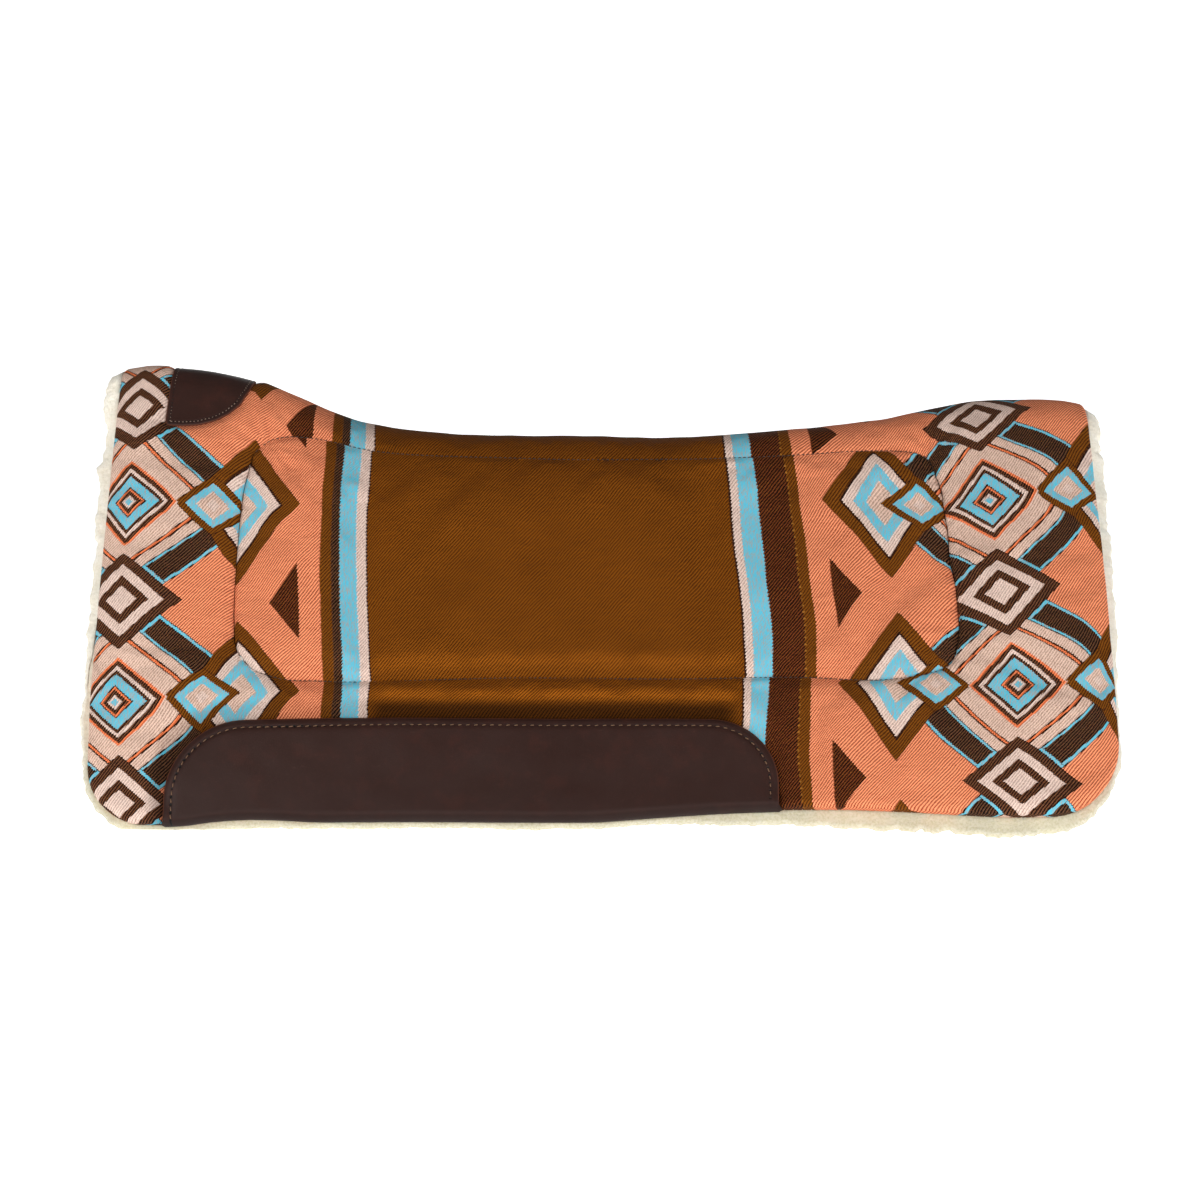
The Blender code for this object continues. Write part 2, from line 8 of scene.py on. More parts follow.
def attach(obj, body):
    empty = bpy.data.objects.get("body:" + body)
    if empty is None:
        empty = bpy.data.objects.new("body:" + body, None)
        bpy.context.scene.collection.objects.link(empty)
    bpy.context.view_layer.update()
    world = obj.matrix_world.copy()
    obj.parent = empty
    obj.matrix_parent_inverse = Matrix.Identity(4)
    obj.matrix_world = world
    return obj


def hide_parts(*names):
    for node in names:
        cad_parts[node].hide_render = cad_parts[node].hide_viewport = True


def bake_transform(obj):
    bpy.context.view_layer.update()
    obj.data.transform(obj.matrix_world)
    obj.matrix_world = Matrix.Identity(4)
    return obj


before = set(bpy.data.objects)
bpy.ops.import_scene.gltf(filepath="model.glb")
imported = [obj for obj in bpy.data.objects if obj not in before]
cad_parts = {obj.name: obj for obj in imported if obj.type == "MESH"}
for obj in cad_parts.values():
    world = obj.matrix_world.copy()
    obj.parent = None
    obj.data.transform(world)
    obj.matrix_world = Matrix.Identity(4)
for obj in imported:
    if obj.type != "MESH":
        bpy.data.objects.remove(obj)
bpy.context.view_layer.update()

# --------------------------------------------------------------------------
# the pad's outer surface, as in the CAD source (metres)
# --------------------------------------------------------------------------
# x, crown height, crown radius, top tilt, bottom tilt, lift of the lower edge
STATIONS = np.array([
    (-0.410, 0.3605, 0.028, 29.0, 18.0, -0.0015),
    (-0.360, 0.3660, 0.028, 29.0, 18.0, -0.0015),
    (-0.290, 0.3560, 0.032, 29.0, 18.5, -0.0008),
    (-0.190, 0.3175, 0.042, 30.0, 20.0, 0.0008),
    (-0.050, 0.3080, 0.050, 31.0, 21.0, 0.0010),
    (0.090, 0.3080, 0.050, 32.0, 21.5, 0.0010),
    (0.220, 0.3190, 0.050, 35.0, 23.0, 0.0000),
    (0.310, 0.3355, 0.050, 38.0, 24.0, -0.0015),
    (0.380, 0.3365, 0.050, 39.0, 24.0, -0.0015),
    (0.410, 0.3300, 0.048, 39.5, 24.0, -0.0015),
])
SIDE_DROP = 0.330
FRONT_TOP, FRONT_LOW = 0.3935, 0.4075
REAR_TOP, REAR_LOW = 0.4005, 0.4075
CORNER_FRONT, CORNER_REAR = 0.045, 0.057
COVER = 0.0012
WADDING_TOP, WADDING = 0.0016, 0.0058
CORE_TOP, CORE = 0.0079, 0.0080
FLEECE_TOP, FLEECE = 0.0165, 0.0089
STACK = FLEECE_TOP + FLEECE
HEM_DEPTH = 0.0158
FLEECE_PROUD = 0.0060
FLEECE_LOW_FRONT, FLEECE_LOW_REAR = 0.0030, 0.0115
LEATHER = 0.0022
WEAR_FRONT, WEAR_REAR = -0.3445, 0.1395
WEAR_ABOVE_EDGE = 0.0845
WEAR_CORNER_FRONT, WEAR_CORNER_REAR = 0.048, 0.040
STITCH_IN = 0.0060
PATCH = [(-0.3500, 0.0), (-0.3530, 0.035), (-0.3556, 0.0655), (-0.3430, 0.0665),
         (-0.3290, 0.0645), (-0.3150, 0.0585), (-0.3040, 0.0500), (-0.2950, 0.0395),
         (-0.2880, 0.0220), (-0.2840, 0.0)]


def station(x):
    """Crown height, radius, top tilt, bottom tilt (radians) and lift at each x, by a cubic through the stations."""
    s = STATIONS
    x = np.clip(np.asarray(x, float), s[0, 0], s[-1, 0])
    i = np.clip(np.searchsorted(s[:, 0], x) - 1, 0, len(s) - 2)

    def slope(k):
        a, b = np.maximum(k - 1, 0), np.minimum(k + 1, len(s) - 1)
        return (s[b, 1:] - s[a, 1:]) / (s[b, 0] - s[a, 0])[..., None]

    h = (s[i + 1, 0] - s[i, 0])[..., None]
    q = (x - s[i, 0])[..., None] / h
    v = ((2 * q**3 - 3 * q**2 + 1) * s[i, 1:] + (q**3 - 2 * q**2 + q) * h * slope(i)
         + (3 * q**2 - 2 * q**3) * s[i + 1, 1:] + (q**3 - q**2) * h * slope(i + 1))
    return v[..., 0], v[..., 1], np.radians(90 - v[..., 2]), np.radians(90 - v[..., 3]), v[..., 4]


def outer(x, q):
    """Outer surface at x and signed arc q from the ridge (negative is the near side)."""
    x, q = np.broadcast_arrays(np.asarray(x, float), np.asarray(q, float))
    t = np.abs(q)
    height, radius, a1, a2, _ = station(x)
    crown = radius * a1
    a = np.minimum(t, crown) / radius
    big = SIDE_DROP / (a2 - a1)
    b = a1 + np.maximum(t - crown, 0.0) / big
    y = radius * np.sin(a) + big * (np.sin(b) - np.sin(a1))
    z = height - radius * (1 - np.cos(a)) - big * (np.cos(a1) - np.cos(b))
    return np.stack((x, np.where(q < 0, -y, y), z), -1)


def normals(x, q):
    e = 0.0005
    n = np.cross(outer(x + e, q) - outer(x - e, q), outer(x, q + e) - outer(x, q - e))
    return n / np.linalg.norm(n, axis=-1, keepdims=True)


def surface(x, q, n=0.0):
    """A point n above the outer surface, along its normal."""
    return outer(x, q) + np.asarray(n)[..., None] * normals(x, q)


def lower_edge(x):
    """Arc length at which the fleece's inner corner stands on the floor."""
    height, radius, a1, a2, lift = station(x)
    big = SIDE_DROP / (a2 - a1)
    z1 = height - radius * (1 - np.cos(a1))
    t = np.full(np.shape(z1), 0.36)
    for _ in range(6):
        a = a1 + (t - radius * a1) / big
        a = np.arccos(np.cos(a1) - (z1 - (lift + STACK * np.cos(a))) / big)
        t = radius * a1 + (a - a1) * big
    return t


def smooth(f):
    f = np.clip(f, 0.0, 1.0)
    return f * f * (3 - 2 * f)


def fleece_overhang(x):
    return FLEECE_LOW_FRONT + (FLEECE_LOW_REAR - FLEECE_LOW_FRONT) * smooth((np.asarray(x) + 0.02) / 0.17)


def along(u, t):
    """x of column u at arc t: the front and rear edges spread a little downwards."""
    f = np.minimum(np.asarray(t) / 0.30, 1.0)
    return np.where(np.asarray(u) < 0, u * (FRONT_TOP + (FRONT_LOW - FRONT_TOP) * f),
                    u * (REAR_TOP + (REAR_LOW - REAR_TOP) * f))


def trim(x):
    """How much the cloth's lower edge draws up from a straight one, as seen in the photo."""
    return 0.001 * np.interp(x, [-.420, -.345, -.329, -.311, -.295, -.279, -.264, -.248, -.232, -.217, -.185, 0, .035, .129, .160, .192, .260, .317, .349, .410],
                             [0, -.8, 0, 2.6, 3.8, 4.3, 3.8, 2.8, 1.3, .6, .2, .4, 1.4, 1.8, 3.0, 4.0, 3.6, 3.2, 4.0, 4.2])


def cover_edge(u):
    """Arc length of the cover's lower edge at column u, with its rounded corners."""
    x = along(u, 0.35)
    t = lower_edge(x) - fleece_overhang(x) - trim(x)
    radius = np.where(np.asarray(u) < 0, CORNER_FRONT, CORNER_REAR)
    reach = np.clip(np.abs(x) - (np.where(np.asarray(u) < 0, FRONT_LOW, REAR_LOW) - radius), 0, radius)
    return t - (radius - np.sqrt(radius**2 - reach**2))


# --------------------------------------------------------------------------
# the camera, and the way back from a point of the picture to the surface
# --------------------------------------------------------------------------
FOCAL = 3850.0                      # pixels, in a picture of 1200 x 1200
ELEVATION = math.radians(4.5)
DISTANCE = 3.2
AIM = np.array((0.0, 0.0, 0.1715))


def picture(p):
    """Pixel (column, row) of each point."""
    d = p - AIM
    up = d[..., 1] * math.sin(ELEVATION) + d[..., 2] * math.cos(ELEVATION)
    depth = DISTANCE + d[..., 1] * math.cos(ELEVATION) - d[..., 2] * math.sin(ELEVATION)
    return np.stack((600 + FOCAL * p[..., 0] / depth, 600 - FOCAL * up / depth), -1)


def on_surface(pixels, lift=None):
    """Where each pixel falls on the near side: x and arc t.  lift(x, t) is the height of the padding there."""
    px = np.asarray(pixels, float)
    x = (px[:, 0] - 600) * 3.1 / FOCAL
    ts = np.linspace(0.004, 0.42, 105)
    rows = picture(outer(x[:, None], -ts[None, :]))[..., 1]
    t = ts[np.argmin(np.abs(rows - px[:, 1:2]), axis=1)]
    e = 1e-4
    n = np.zeros_like(x)
    for step in range(14):
        if lift is not None and step % 3 == 2:
            n = lift(x, t)
        f = picture(surface(x, -t, n)) - px
        fx = (picture(surface(x + e, -t, n)) - px - f) / e
        ft = (picture(surface(x, -t - e, n)) - px - f) / e
        det = fx[:, 0] * ft[:, 1] - fx[:, 1] * ft[:, 0]
        dx = (f[:, 0] * ft[:, 1] - f[:, 1] * ft[:, 0]) / det
        dt = (fx[:, 0] * f[:, 1] - fx[:, 1] * f[:, 0]) / det
        x = x - np.clip(dx, -0.02, 0.02)
        t = np.maximum(t - np.clip(dt, -0.02, 0.02), 0.0005)
    return np.stack((x, t), -1)

# --------------------------------------------------------------------------
# the quilting seam round the near bar
# --------------------------------------------------------------------------
# picture points along the seam, clockwise from the top of the front crease, with the
# depth of the groove there (mm)
SEAM = [(261, 446.3, 2.6), (253.5, 453, 4.2), (250.8, 462, 6.0), (244.4, 485.3, 7.0), (241.5, 502.5, 7.2), (236.9, 548.4, 7.2),
        (234.6, 583, 7.0), (233.5, 628.9, 6.6), (235.2, 645.5, 6.0), (238.6, 653, 5.2), (245, 661, 4.4), (253, 669, 3.6),
        (273, 676, 3.0), (290, 679.4, 2.8), (323, 680.4, 2.7), (368, 681, 2.6), (438, 678.8, 2.6), (555, 677.2, 2.6),
        (650, 678, 2.6), (742, 676.9, 2.6), (803, 676.4, 2.7), (860, 678.9, 2.8), (884.9, 678.6, 3.0), (918, 674.4, 3.4),
        (931.3, 671.1, 4.0), (944.6, 666.1, 4.6), (952.9, 657.8, 5.6), (957.2, 642.9, 6.6), (958.9, 626.3, 7.0),
        (957.8, 609.7, 7.2), (955.3, 584.9, 7.2), (949.8, 557.3, 7.2), (946.9, 526.3, 7.0), (943.6, 505, 6.8),
        (941.2, 489.5, 6.4), (936.6, 475.8, 5.8), (932, 464.3, 4.6), (925, 455.5, 3.2), (912, 451.5, 2.0), (885, 450.2, 1.5),
        (853, 450.8, 1.3), (812.5, 453.6, 1.1), (755, 456.7, 1.0), (722, 458, 0.9), (650, 459, 0.9), (555, 459, 0.9),
        (450, 456, 0.9), (376, 451, 1.0), (345, 444.5, 1.2), (323, 439.6, 1.4), (300, 436.4, 1.7), (286, 436.3, 2.0), (271.4, 439.4, 2.2)]


def closed_curve(points, count):
    """A smooth closed curve through the points, evenly sampled by length of its first two coordinates."""
    p = np.array(points, float)
    n = len(p)
    fine = []
    for k in range(n):
        a, b, c, d = p[k - 1], p[k], p[(k + 1) % n], p[(k + 2) % n]
        lb, lc = np.linalg.norm((c - b)[:2]), 1e-9
        m1 = (c - a) * lb / (np.linalg.norm((b - a)[:2]) + lb)
        m2 = (d - b) * lb / (np.linalg.norm((d - c)[:2]) + lb)
        q = (np.arange(24) / 24.0)[:, None]
        fine.append((2 * q**3 - 3 * q**2 + 1) * b + (q**3 - 2 * q**2 + q) * m1
                    + (3 * q**2 - 2 * q**3) * c + (q**3 - q**2) * m2)
    fine = np.concatenate(fine)
    ring = np.concatenate((fine, fine[:1]))
    s = np.concatenate(((0.0,), np.cumsum(np.linalg.norm(np.diff(ring[:, :2], axis=0), axis=1))))
    at = np.linspace(0, s[-1], count, endpoint=False)
    return np.stack([np.interp(at, s, ring[:, k]) for k in range(p.shape[1])], -1), s[-1]


_seam_xt = on_surface(np.array(SEAM)[:, :2])
SEAM_LINE, SEAM_LENGTH = closed_curve(np.column_stack((_seam_xt, np.array(SEAM)[:, 2] / 1000)), 900)


def nearest_foot(x, t, line, closed=True):
    """Signed distance to a polyline of (x, t), positive outside where it is closed; where along it; the foot point."""
    shape = np.shape(x)
    p = np.stack((np.ravel(x), np.ravel(t)), -1)
    a = line[:, :2]
    n = len(a)
    tree = kdtree.KDTree(n)
    for k, (px, pt) in enumerate(a.tolist()):
        tree.insert((px, pt, 0.0), k)
    tree.balance()
    find = tree.find
    near = np.array([find((px, pt, 0.0))[1] for px, pt in p.tolist()])
    best = None
    for shift in (-1, 0):
        i = near + shift
        if closed:
            i, k = i % n, (i + 1) % n
        else:
            i = np.clip(i, 0, n - 2)
            k = i + 1
        d = a[k] - a[i]
        w = p - a[i]
        f = np.clip((w * d).sum(1) / ((d * d).sum(1) + 1e-18), 0, 1)
        off = w - f[:, None] * d
        dist = np.sqrt((off * off).sum(1))
        side = np.sign(d[:, 0] * w[:, 1] - d[:, 1] * w[:, 0])
        now = [dist, i + f, side, p - off]
        if best is None:
            best = now
        else:
            take = now[0] < best[0]
            best = [np.where(take if u.ndim == 1 else take[:, None], v, u) for u, v in zip(best, now)]
    dist, at, side, foot = best
    if closed:
        q = np.roll(a, -1, axis=0)
        turn = (a[:, 0] * q[:, 1] - a[:, 1] * q[:, 0]).sum()
        side = side * (-1 if turn > 0 else 1)
    return (dist * side).reshape(shape), at.reshape(shape), foot.reshape(*shape, 2)


def nearest(x, t, line, closed=True):
    return nearest_foot(x, t, line, closed)[:2]


def seam_field(x, t):
    """Signed distance to the seam (inside the bar is negative), groove depth there, position along the seam,
    and the distance's direction of increase."""
    d, at, foot = nearest_foot(x, t, SEAM_LINE)
    i = at.astype(int) % len(SEAM_LINE)
    f = at - np.floor(at)
    depth = SEAM_LINE[i, 2] * (1 - f) + SEAM_LINE[(i + 1) % len(SEAM_LINE), 2] * f
    grow = (np.stack((x, t), -1) - foot) * np.sign(d)[..., None]
    grow = grow / np.maximum(np.linalg.norm(grow, axis=-1, keepdims=True), 1e-9)
    return d, depth, at * SEAM_LENGTH / len(SEAM_LINE), grow


def seam_at(x, t):
    return seam_field(x, t)[:3]


# --------------------------------------------------------------------------
# how the cloth lies: where each figure of the weave is on the pad
# --------------------------------------------------------------------------
# Cloth coordinates in mm: X runs along the pad from the middle of the front column of
# figures to that of the rear column, R runs down, and the weave repeats every 167 mm.
# Each row: picture column and row, X, R.  Measured where a figure's corner is seen.
REAR = 707.0
OUT_LEFT = [
    (139.8, 407.1, 0, 0), (145, 369.6, 0, -38.8), (134.5, 450.9, 0, 38.8), (164.2, 405.9, 22.9, 0), (115.4, 415.5, -22.9, 0),
    (129.3, 503, 0, 83.5), (132.6, 460.4, 0, 45.8), (125, 548.4, 0, 121.2), (162.3, 502.5, 25.1, 83.5), (105.8, 505.4, -25.1, 83.5),
    (124.4, 553.2, 0, 128.2), (121.8, 600.7, 0, 167), (183.7, 600.2, 47.7, 167), (120.2, 649.8, 0, 205.8), (96.3, 603, -22.9, 167),
    (119.6, 656.1, 0, 212.8), (115.5, 702.5, 0, 250.5), (120.2, 747.9, 0, 288.2), (149.5, 702, 25.1, 250.5), (88.6, 704.3, -25.1, 250.5),
    (119.6, 754.8, 0, 295.2), (160.4, 804.2, 34.3, 334), (174.9, 503.1, 37.1, 83.5), (212.8, 477.2, 67.3, 58.1),
    (211.7, 535.8, 67.3, 108.9), (238.1, 512.3, 89.2, 83.5), (164.6, 697.8, 37.1, 250.5), (204.8, 670.2, 67.3, 225.1),
    (240.9, 694.3, 97.5, 250.5), (199.6, 731, 67.3, 275.9), (177.8, 426.7, 34, 13.1), (160, 438.8, 17.5, 26.5),
    (223.7, 466.3, 73.2, 50.3), (204.2, 482.4, 58.6, 65.5), (201.9, 529.5, 58.6, 101.5), (217.4, 547.3, 73.2, 116.7),
    (145, 567.6, 17.5, 140.5), (165, 584.5, 34, 153.9), (162.3, 616.8, 34, 180.1), (143.1, 632.6, 17.5, 193.5),
    (212.8, 655.3, 73.2, 217.3), (193.1, 674.4, 58.6, 232.5), (192.5, 727.2, 58.6, 268.5), (141.4, 771.4, 17.5, 307.5),
    (255.9, 439.4, 95.5, 20.9), (226.6, 485.3, 76.9, 66.2), (224.9, 529.5, 76.9, 100.9), (261, 400.5, 95.5, -20.9),
    (300, 692, 143, 250.5), (279.4, 692, 127.3, 250.5), (267.3, 694.3, 118.3, 250.5), (256.4, 693.7, 107.9, 250.5),
    (241.5, 660.4, 95.5, 220.5), (241.5, 674.2, 95.5, 234.2), (286.3, 425.6, 122, 0), (314.5, 420, 146.5, -5),
    (334.5, 416.4, 163, -12), (350.9, 427.6, 178, 2), (365.8, 427.6, 192, 4), (374.4, 427.6, 200, 4),
    (321.3, 703.5, 163, 262), (340.5, 709.2, 178, 267), (358.3, 709.2, 192, 267), (366.9, 709.2, 200, 267)]
IN_LEFT = [
    (300.1, 504.2, 143, 83.5), (280, 505.4, 127.3, 83.5), (266.8, 505.4, 118.3, 83.5), (257, 506.5, 107.9, 83.5),
    (250.1, 464.6, 95.5, 41.6), (246.7, 479, 95.5, 53.5), (238.6, 550.7, 95.5, 113.5), (238.1, 565.1, 95.5, 125.4),
    (238.1, 585.8, 95.5, 146.1), (239.2, 622, 95.5, 187.9), (297.2, 562.3, 146.5, 136), (299.5, 639.2, 146.5, 198),
    (269, 601.9, 122, 167), (306.4, 448.5, 146.5, 31), (325.3, 463.5, 163, 44), (321.9, 493.3, 163, 73),
    (320.7, 527.8, 163, 105), (319.6, 560, 163, 134), (320.1, 594.4, 163, 162), (321.3, 628.9, 163, 190), (322.4, 663.3, 163, 222),
    (340.5, 491.8, 178, 72), (338.8, 572.2, 178, 145), (340, 617.4, 178, 181), (341.7, 663.3, 178, 223),
    (357.8, 491.8, 192, 72), (356.6, 572.2, 192, 145), (357.8, 617.4, 192, 181), (359.5, 663.3, 192, 223),
    (368.7, 491.8, 200, 72), (366.4, 572.2, 200, 145), (367.5, 617.4, 200, 181), (369.2, 663.3, 200, 223)]
# on the rear half the second pair counts from the rear column, forwards
IN_RIGHT = [
    (729.3, 477.4, 218, 63), (732.1, 502.7, 218, 84), (734.4, 534.8, 218, 113), (739, 569.2, 218, 142), (744, 614, 218, 181),
    (746.9, 671, 218, 231), (738.5, 483.1, 211.5, 67), (745.9, 563.5, 211.5, 137), (753.2, 637.4, 211.5, 202),
    (754.3, 671.8, 211.5, 231), (755.7, 477.4, 197, 62), (758.5, 500.4, 197, 82), (764.9, 557.8, 197, 132), (767.7, 592.2, 197, 162),
    (772.7, 637.4, 197, 202), (772.7, 671.8, 197, 232), (787.2, 477.4, 171.3, 62), (793, 523.3, 171.3, 101),
    (797.6, 569.2, 171.3, 142), (805.4, 643.1, 171.3, 208), (806, 666.1, 171.3, 229), (798.7, 488.9, 163, 71),
    (805, 534.8, 163, 112), (811.4, 592.2, 163, 163), (816.9, 660.4, 163, 224), (821.8, 500.4, 143, 83.5), (842, 502.1, 127.3, 83.5),
    (853.3, 501.8, 118.3, 83.5), (865.4, 502.2, 107.9, 83.5), (873.5, 454.2, 95.5, 41.6), (876.3, 464.9, 95.5, 53.5),
    (879.2, 481.5, 95.5, 67.2), (885, 524.6, 95.5, 99.8), (887.8, 541.2, 95.5, 113.5), (889, 555.3, 95.5, 125.4),
    (892.1, 576.8, 95.5, 146.1), (892.4, 503.3, 89.2, 83.5), (915.9, 484.4, 67.3, 64.1), (941.8, 511.4, 45.4, 83.5),
    (922.8, 524.6, 67.3, 102.9), (903.9, 465.4, 73.2, 50.3), (924, 482.1, 58.6, 65.5), (932, 527.4, 58.6, 101.5),
    (915.9, 542.9, 73.2, 116.7), (931.3, 648.7, 73.2, 217.3), (949.5, 664.5, 58.6, 232.5), (829.1, 557.8, 146.5, 136),
    (861.8, 592.2, 122, 167), (838.2, 627.1, 146.5, 198), (897.3, 610.5, 95.5, 187.9), (899.7, 635.2, 95.5, 208.6),
    (900.5, 649, 95.5, 220.5), (900.3, 667.8, 95.5, 234.2)]
OUT_RIGHT = [
    (724.1, 435.5, 218, 14), (731, 436.1, 211.5, 14), (750.5, 448.7, 197, 30), (780.4, 452, 171.3, 33), (792.4, 452.1, 163, 33),
    (837.5, 435.2, 122, 0), (976.8, 420, 0, 0), (980.8, 454, 0, 38.8), (1031.8, 408, -47.7, 0), (922.8, 430.4, 47.7, 0),
    (937.2, 427, 34.3, 0), (1015.8, 410.9, -34.3, 0), (977.9, 444.8, 0, 27.9), (950, 423.8, 22.9, 0), (1002.6, 412.1, -22.9, 0),
    (989.4, 502.2, 0, 83.5), (981.9, 459.7, 0, 45.8), (995.1, 542.3, 0, 121.2), (1035.3, 491.8, -37.5, 83.5),
    (958.4, 507.3, 25.1, 83.5), (1020.4, 498.2, -25.1, 83.5), (996.3, 549.2, 0, 128.2), (1001.8, 592.3, 0, 167),
    (1060.6, 584.9, -47.7, 167), (1010, 637.1, 0, 205.8), (960.3, 599.8, 34.3, 167), (1044, 585.7, -34.3, 167),
    (1010, 640.4, 0, 212.8), (1018, 685.5, 0, 250.5), (1016.7, 730.8, 0, 288.2), (1017.5, 737.4, 0, 295.2),
    (962.8, 781.4, 47.7, 334), (1083, 784.7, -47.7, 334), (1023.3, 816.5, 0, 361.9), (1036.4, 493, -37.1, 83.5),
    (1043.3, 494.1, -45.4, 83.5), (1066.9, 467.2, -67.3, 64.1), (1091.5, 494.1, -89.2, 83.5), (1072, 509.1, -67.3, 102.9),
    (1063.1, 682.7, -37.1, 250.5), (1074.7, 679.4, -45.4, 250.5), (1098.8, 657.8, -67.3, 231.1), (1115.4, 687.7, -89.2, 250.5),
    (1102.1, 701.8, -67.3, 269.9), (1015.8, 423.5, -34, 13.1), (999.7, 439.6, -17.5, 26.5), (1070.9, 446.5, -73.2, 50.3),
    (1057.1, 466.6, -58.6, 65.5), (1082.3, 528, -73.2, 116.7), (1064, 513.1, -58.6, 101.5), (1040.4, 572.2, -34, 153.9),
    (1019.2, 559.6, -17.5, 140.5), (1047.4, 602.3, -34, 180.1), (1029.1, 620.5, -17.5, 193.5), (1101.3, 637.1, -73.2, 217.3),
    (1089.7, 655.3, -58.6, 232.5), (1108.7, 723.3, -73.2, 283.7), (1092.1, 705.1, -58.6, 268.5), (1062.3, 767.3, -34, 320.9),
    (1040.7, 749.9, -17.5, 307.5), (937.8, 443.3, 34, 13.1), (957.3, 445.9, 17.5, 26.5), (973.9, 566, 17.5, 140.5),
    (957.8, 584.9, 34, 153.9), (962, 616.4, 34, 180.1), (985.2, 625.5, 17.5, 193.5), (945.4, 707.6, 58.6, 268.5),
    (926.3, 724.2, 73.2, 283.7), (995.1, 752.3, 17.5, 307.5), (976.9, 768.1, 34, 320.9), (837.6, 683.9, 143, 250.5),
    (858.5, 684, 127.3, 250.5), (869.8, 682.8, 118.3, 250.5), (881.7, 683.7, 107.9, 250.5), (896.6, 705.2, 95.5, 266.8),
    (896.6, 722.8, 95.5, 280.5), (896.6, 738, 95.5, 292.4), (896.5, 761.7, 95.5, 313.1), (909.5, 684, 89.2, 250.5),
    (960.8, 686, 45.4, 250.5), (936.3, 706, 67.3, 269.9), (833.3, 741.2, 146.5, 303), (867.2, 778.5, 122, 334),
    (900.6, 799, 95.5, 354.9), (744, 717.8, 218, 272), (750.3, 717.8, 211.5, 272), (764.7, 740.7, 197, 292),
    (798.5, 740.7, 171.3, 294), (803, 803, 171.3, 350), (810.6, 729.2, 163, 284), (809.5, 752.2, 163, 305), (812.7, 803, 163, 350)]
MIDDLE_OUT = [(450, 436, 262.5, 12), (580, 440, 370, 14), (690, 440, 461, 16), (450, 690, 262, 250.5), (580, 690, 361, 250.5), (690, 690, 445, 250.5)]
MIDDLE_IN = [(450, 502, 265, 83.5), (580, 502, 368, 83.5), (680, 502, 448, 83.5), (450, 640, 263, 206), (580, 640, 362, 206), (680, 640, 439, 206)]


def thin_plate(at, values, give):
    """A smooth map from (x, t) that passes close to the values; give lets it miss measuring errors."""
    at = np.asarray(at) * 10.0
    n = len(at)

    def kernel(a, b):
        r2 = ((a[:, None, :] - b[None, :, :]) ** 2).sum(-1)
        return 0.5 * r2 * np.log(r2 + 1e-12)

    a = np.zeros((n + 3, n + 3))
    a[:n, :n] = kernel(at, at) + give * np.eye(n)
    a[:n, n] = a[n, :n] = 1.0
    a[:n, n + 1:] = at
    a[n + 1:, :n] = at.T
    w = np.linalg.solve(a, np.concatenate((values, np.zeros((3, values.shape[1])))))

    def evaluate(x, t):
        p = np.stack((np.ravel(x), np.ravel(t)), -1) * 10.0
        out = [kernel(p[k:k + 8000], at) @ w[:n] + w[n] + p[k:k + 8000] @ w[n + 1:] for k in range(0, len(p), 8000)]
        return np.concatenate(out).reshape(*np.shape(x), values.shape[1])

    return evaluate


# --------------------------------------------------------------------------
# the padding under the cloth
# --------------------------------------------------------------------------
def groove(d, depth):
    """Height of the cloth round the quilting seam, before the cloth simulation."""
    a = np.abs(d)
    shape = 0.60 * np.exp(-a / 0.0016) + 0.40 * np.exp(-a / 0.0070)
    puff = np.where(d < 0, 0.0016, 0.0019) * smooth(a / 0.020) * np.minimum(depth / 0.005, 1.0)
    return -depth * shape + puff * (1 - smooth((a - 0.02) / 0.10) * 0.6)


def pull(d, depth, grow):
    """How far the cloth on both sides leans in over the seam, and in which direction."""
    a = np.abs(d)
    most = np.where(d > 0, 0.0028, 0.0018) * np.minimum(depth / 0.0072, 1.0) ** 1.5
    lean = most * (a / 0.0025) * np.exp(1 - a / 0.0025)
    lean = np.minimum(lean, np.where(d > 0, 1.05, 0.72) * a)
    return -np.sign(d) * lean * grow[..., 0], -np.sign(d) * lean * grow[..., 1]


def waves(x, t, seed, size):
    """Low random waves, the same each run."""
    rng = np.random.default_rng(seed)
    total = np.zeros(np.shape(x))
    for _ in range(14):
        a, p = rng.uniform(0, math.tau), rng.uniform(0, math.tau)
        f = math.tau / (size * rng.uniform(0.6, 1.7))
        total = total + np.sin(f * (x * math.cos(a) + t * math.sin(a)) + p)
    return total / math.sqrt(14)


def seed_lift(x, t):
    """Height of the cloth where the picture's landmarks are: the groove and about the swell of the padding."""
    d, depth, _ = seam_at(x, t)
    return groove(d, depth) + np.where(d < 0, 0.0030, 0.0) * smooth(-d / 0.035)



_rear = [(c, r, REAR - s, w) for c, r, s, w in IN_RIGHT]
_rear_out = [(c, r, REAR - s, w) for c, r, s, w in OUT_RIGHT]


def cloth_map(rows, give):
    rows = np.array(rows, float)
    return thin_plate(on_surface(rows[:, :2], seed_lift), rows[:, 2:], give)


CLOTH_OUT = cloth_map(OUT_LEFT + _rear_out + MIDDLE_OUT, 0.004)
CLOTH_IN = cloth_map(IN_LEFT + _rear + MIDDLE_IN, 0.004)


# --------------------------------------------------------------------------
# grids over one half of the pad
# --------------------------------------------------------------------------
def stops(parts):
    """Joined runs of evenly spaced numbers: (end, steps) after a start."""
    out = [np.array([parts[0]])]
    for end, steps in parts[1:]:
        out.append(np.linspace(out[-1][-1], end, steps + 1)[1:])
    return np.concatenate(out)


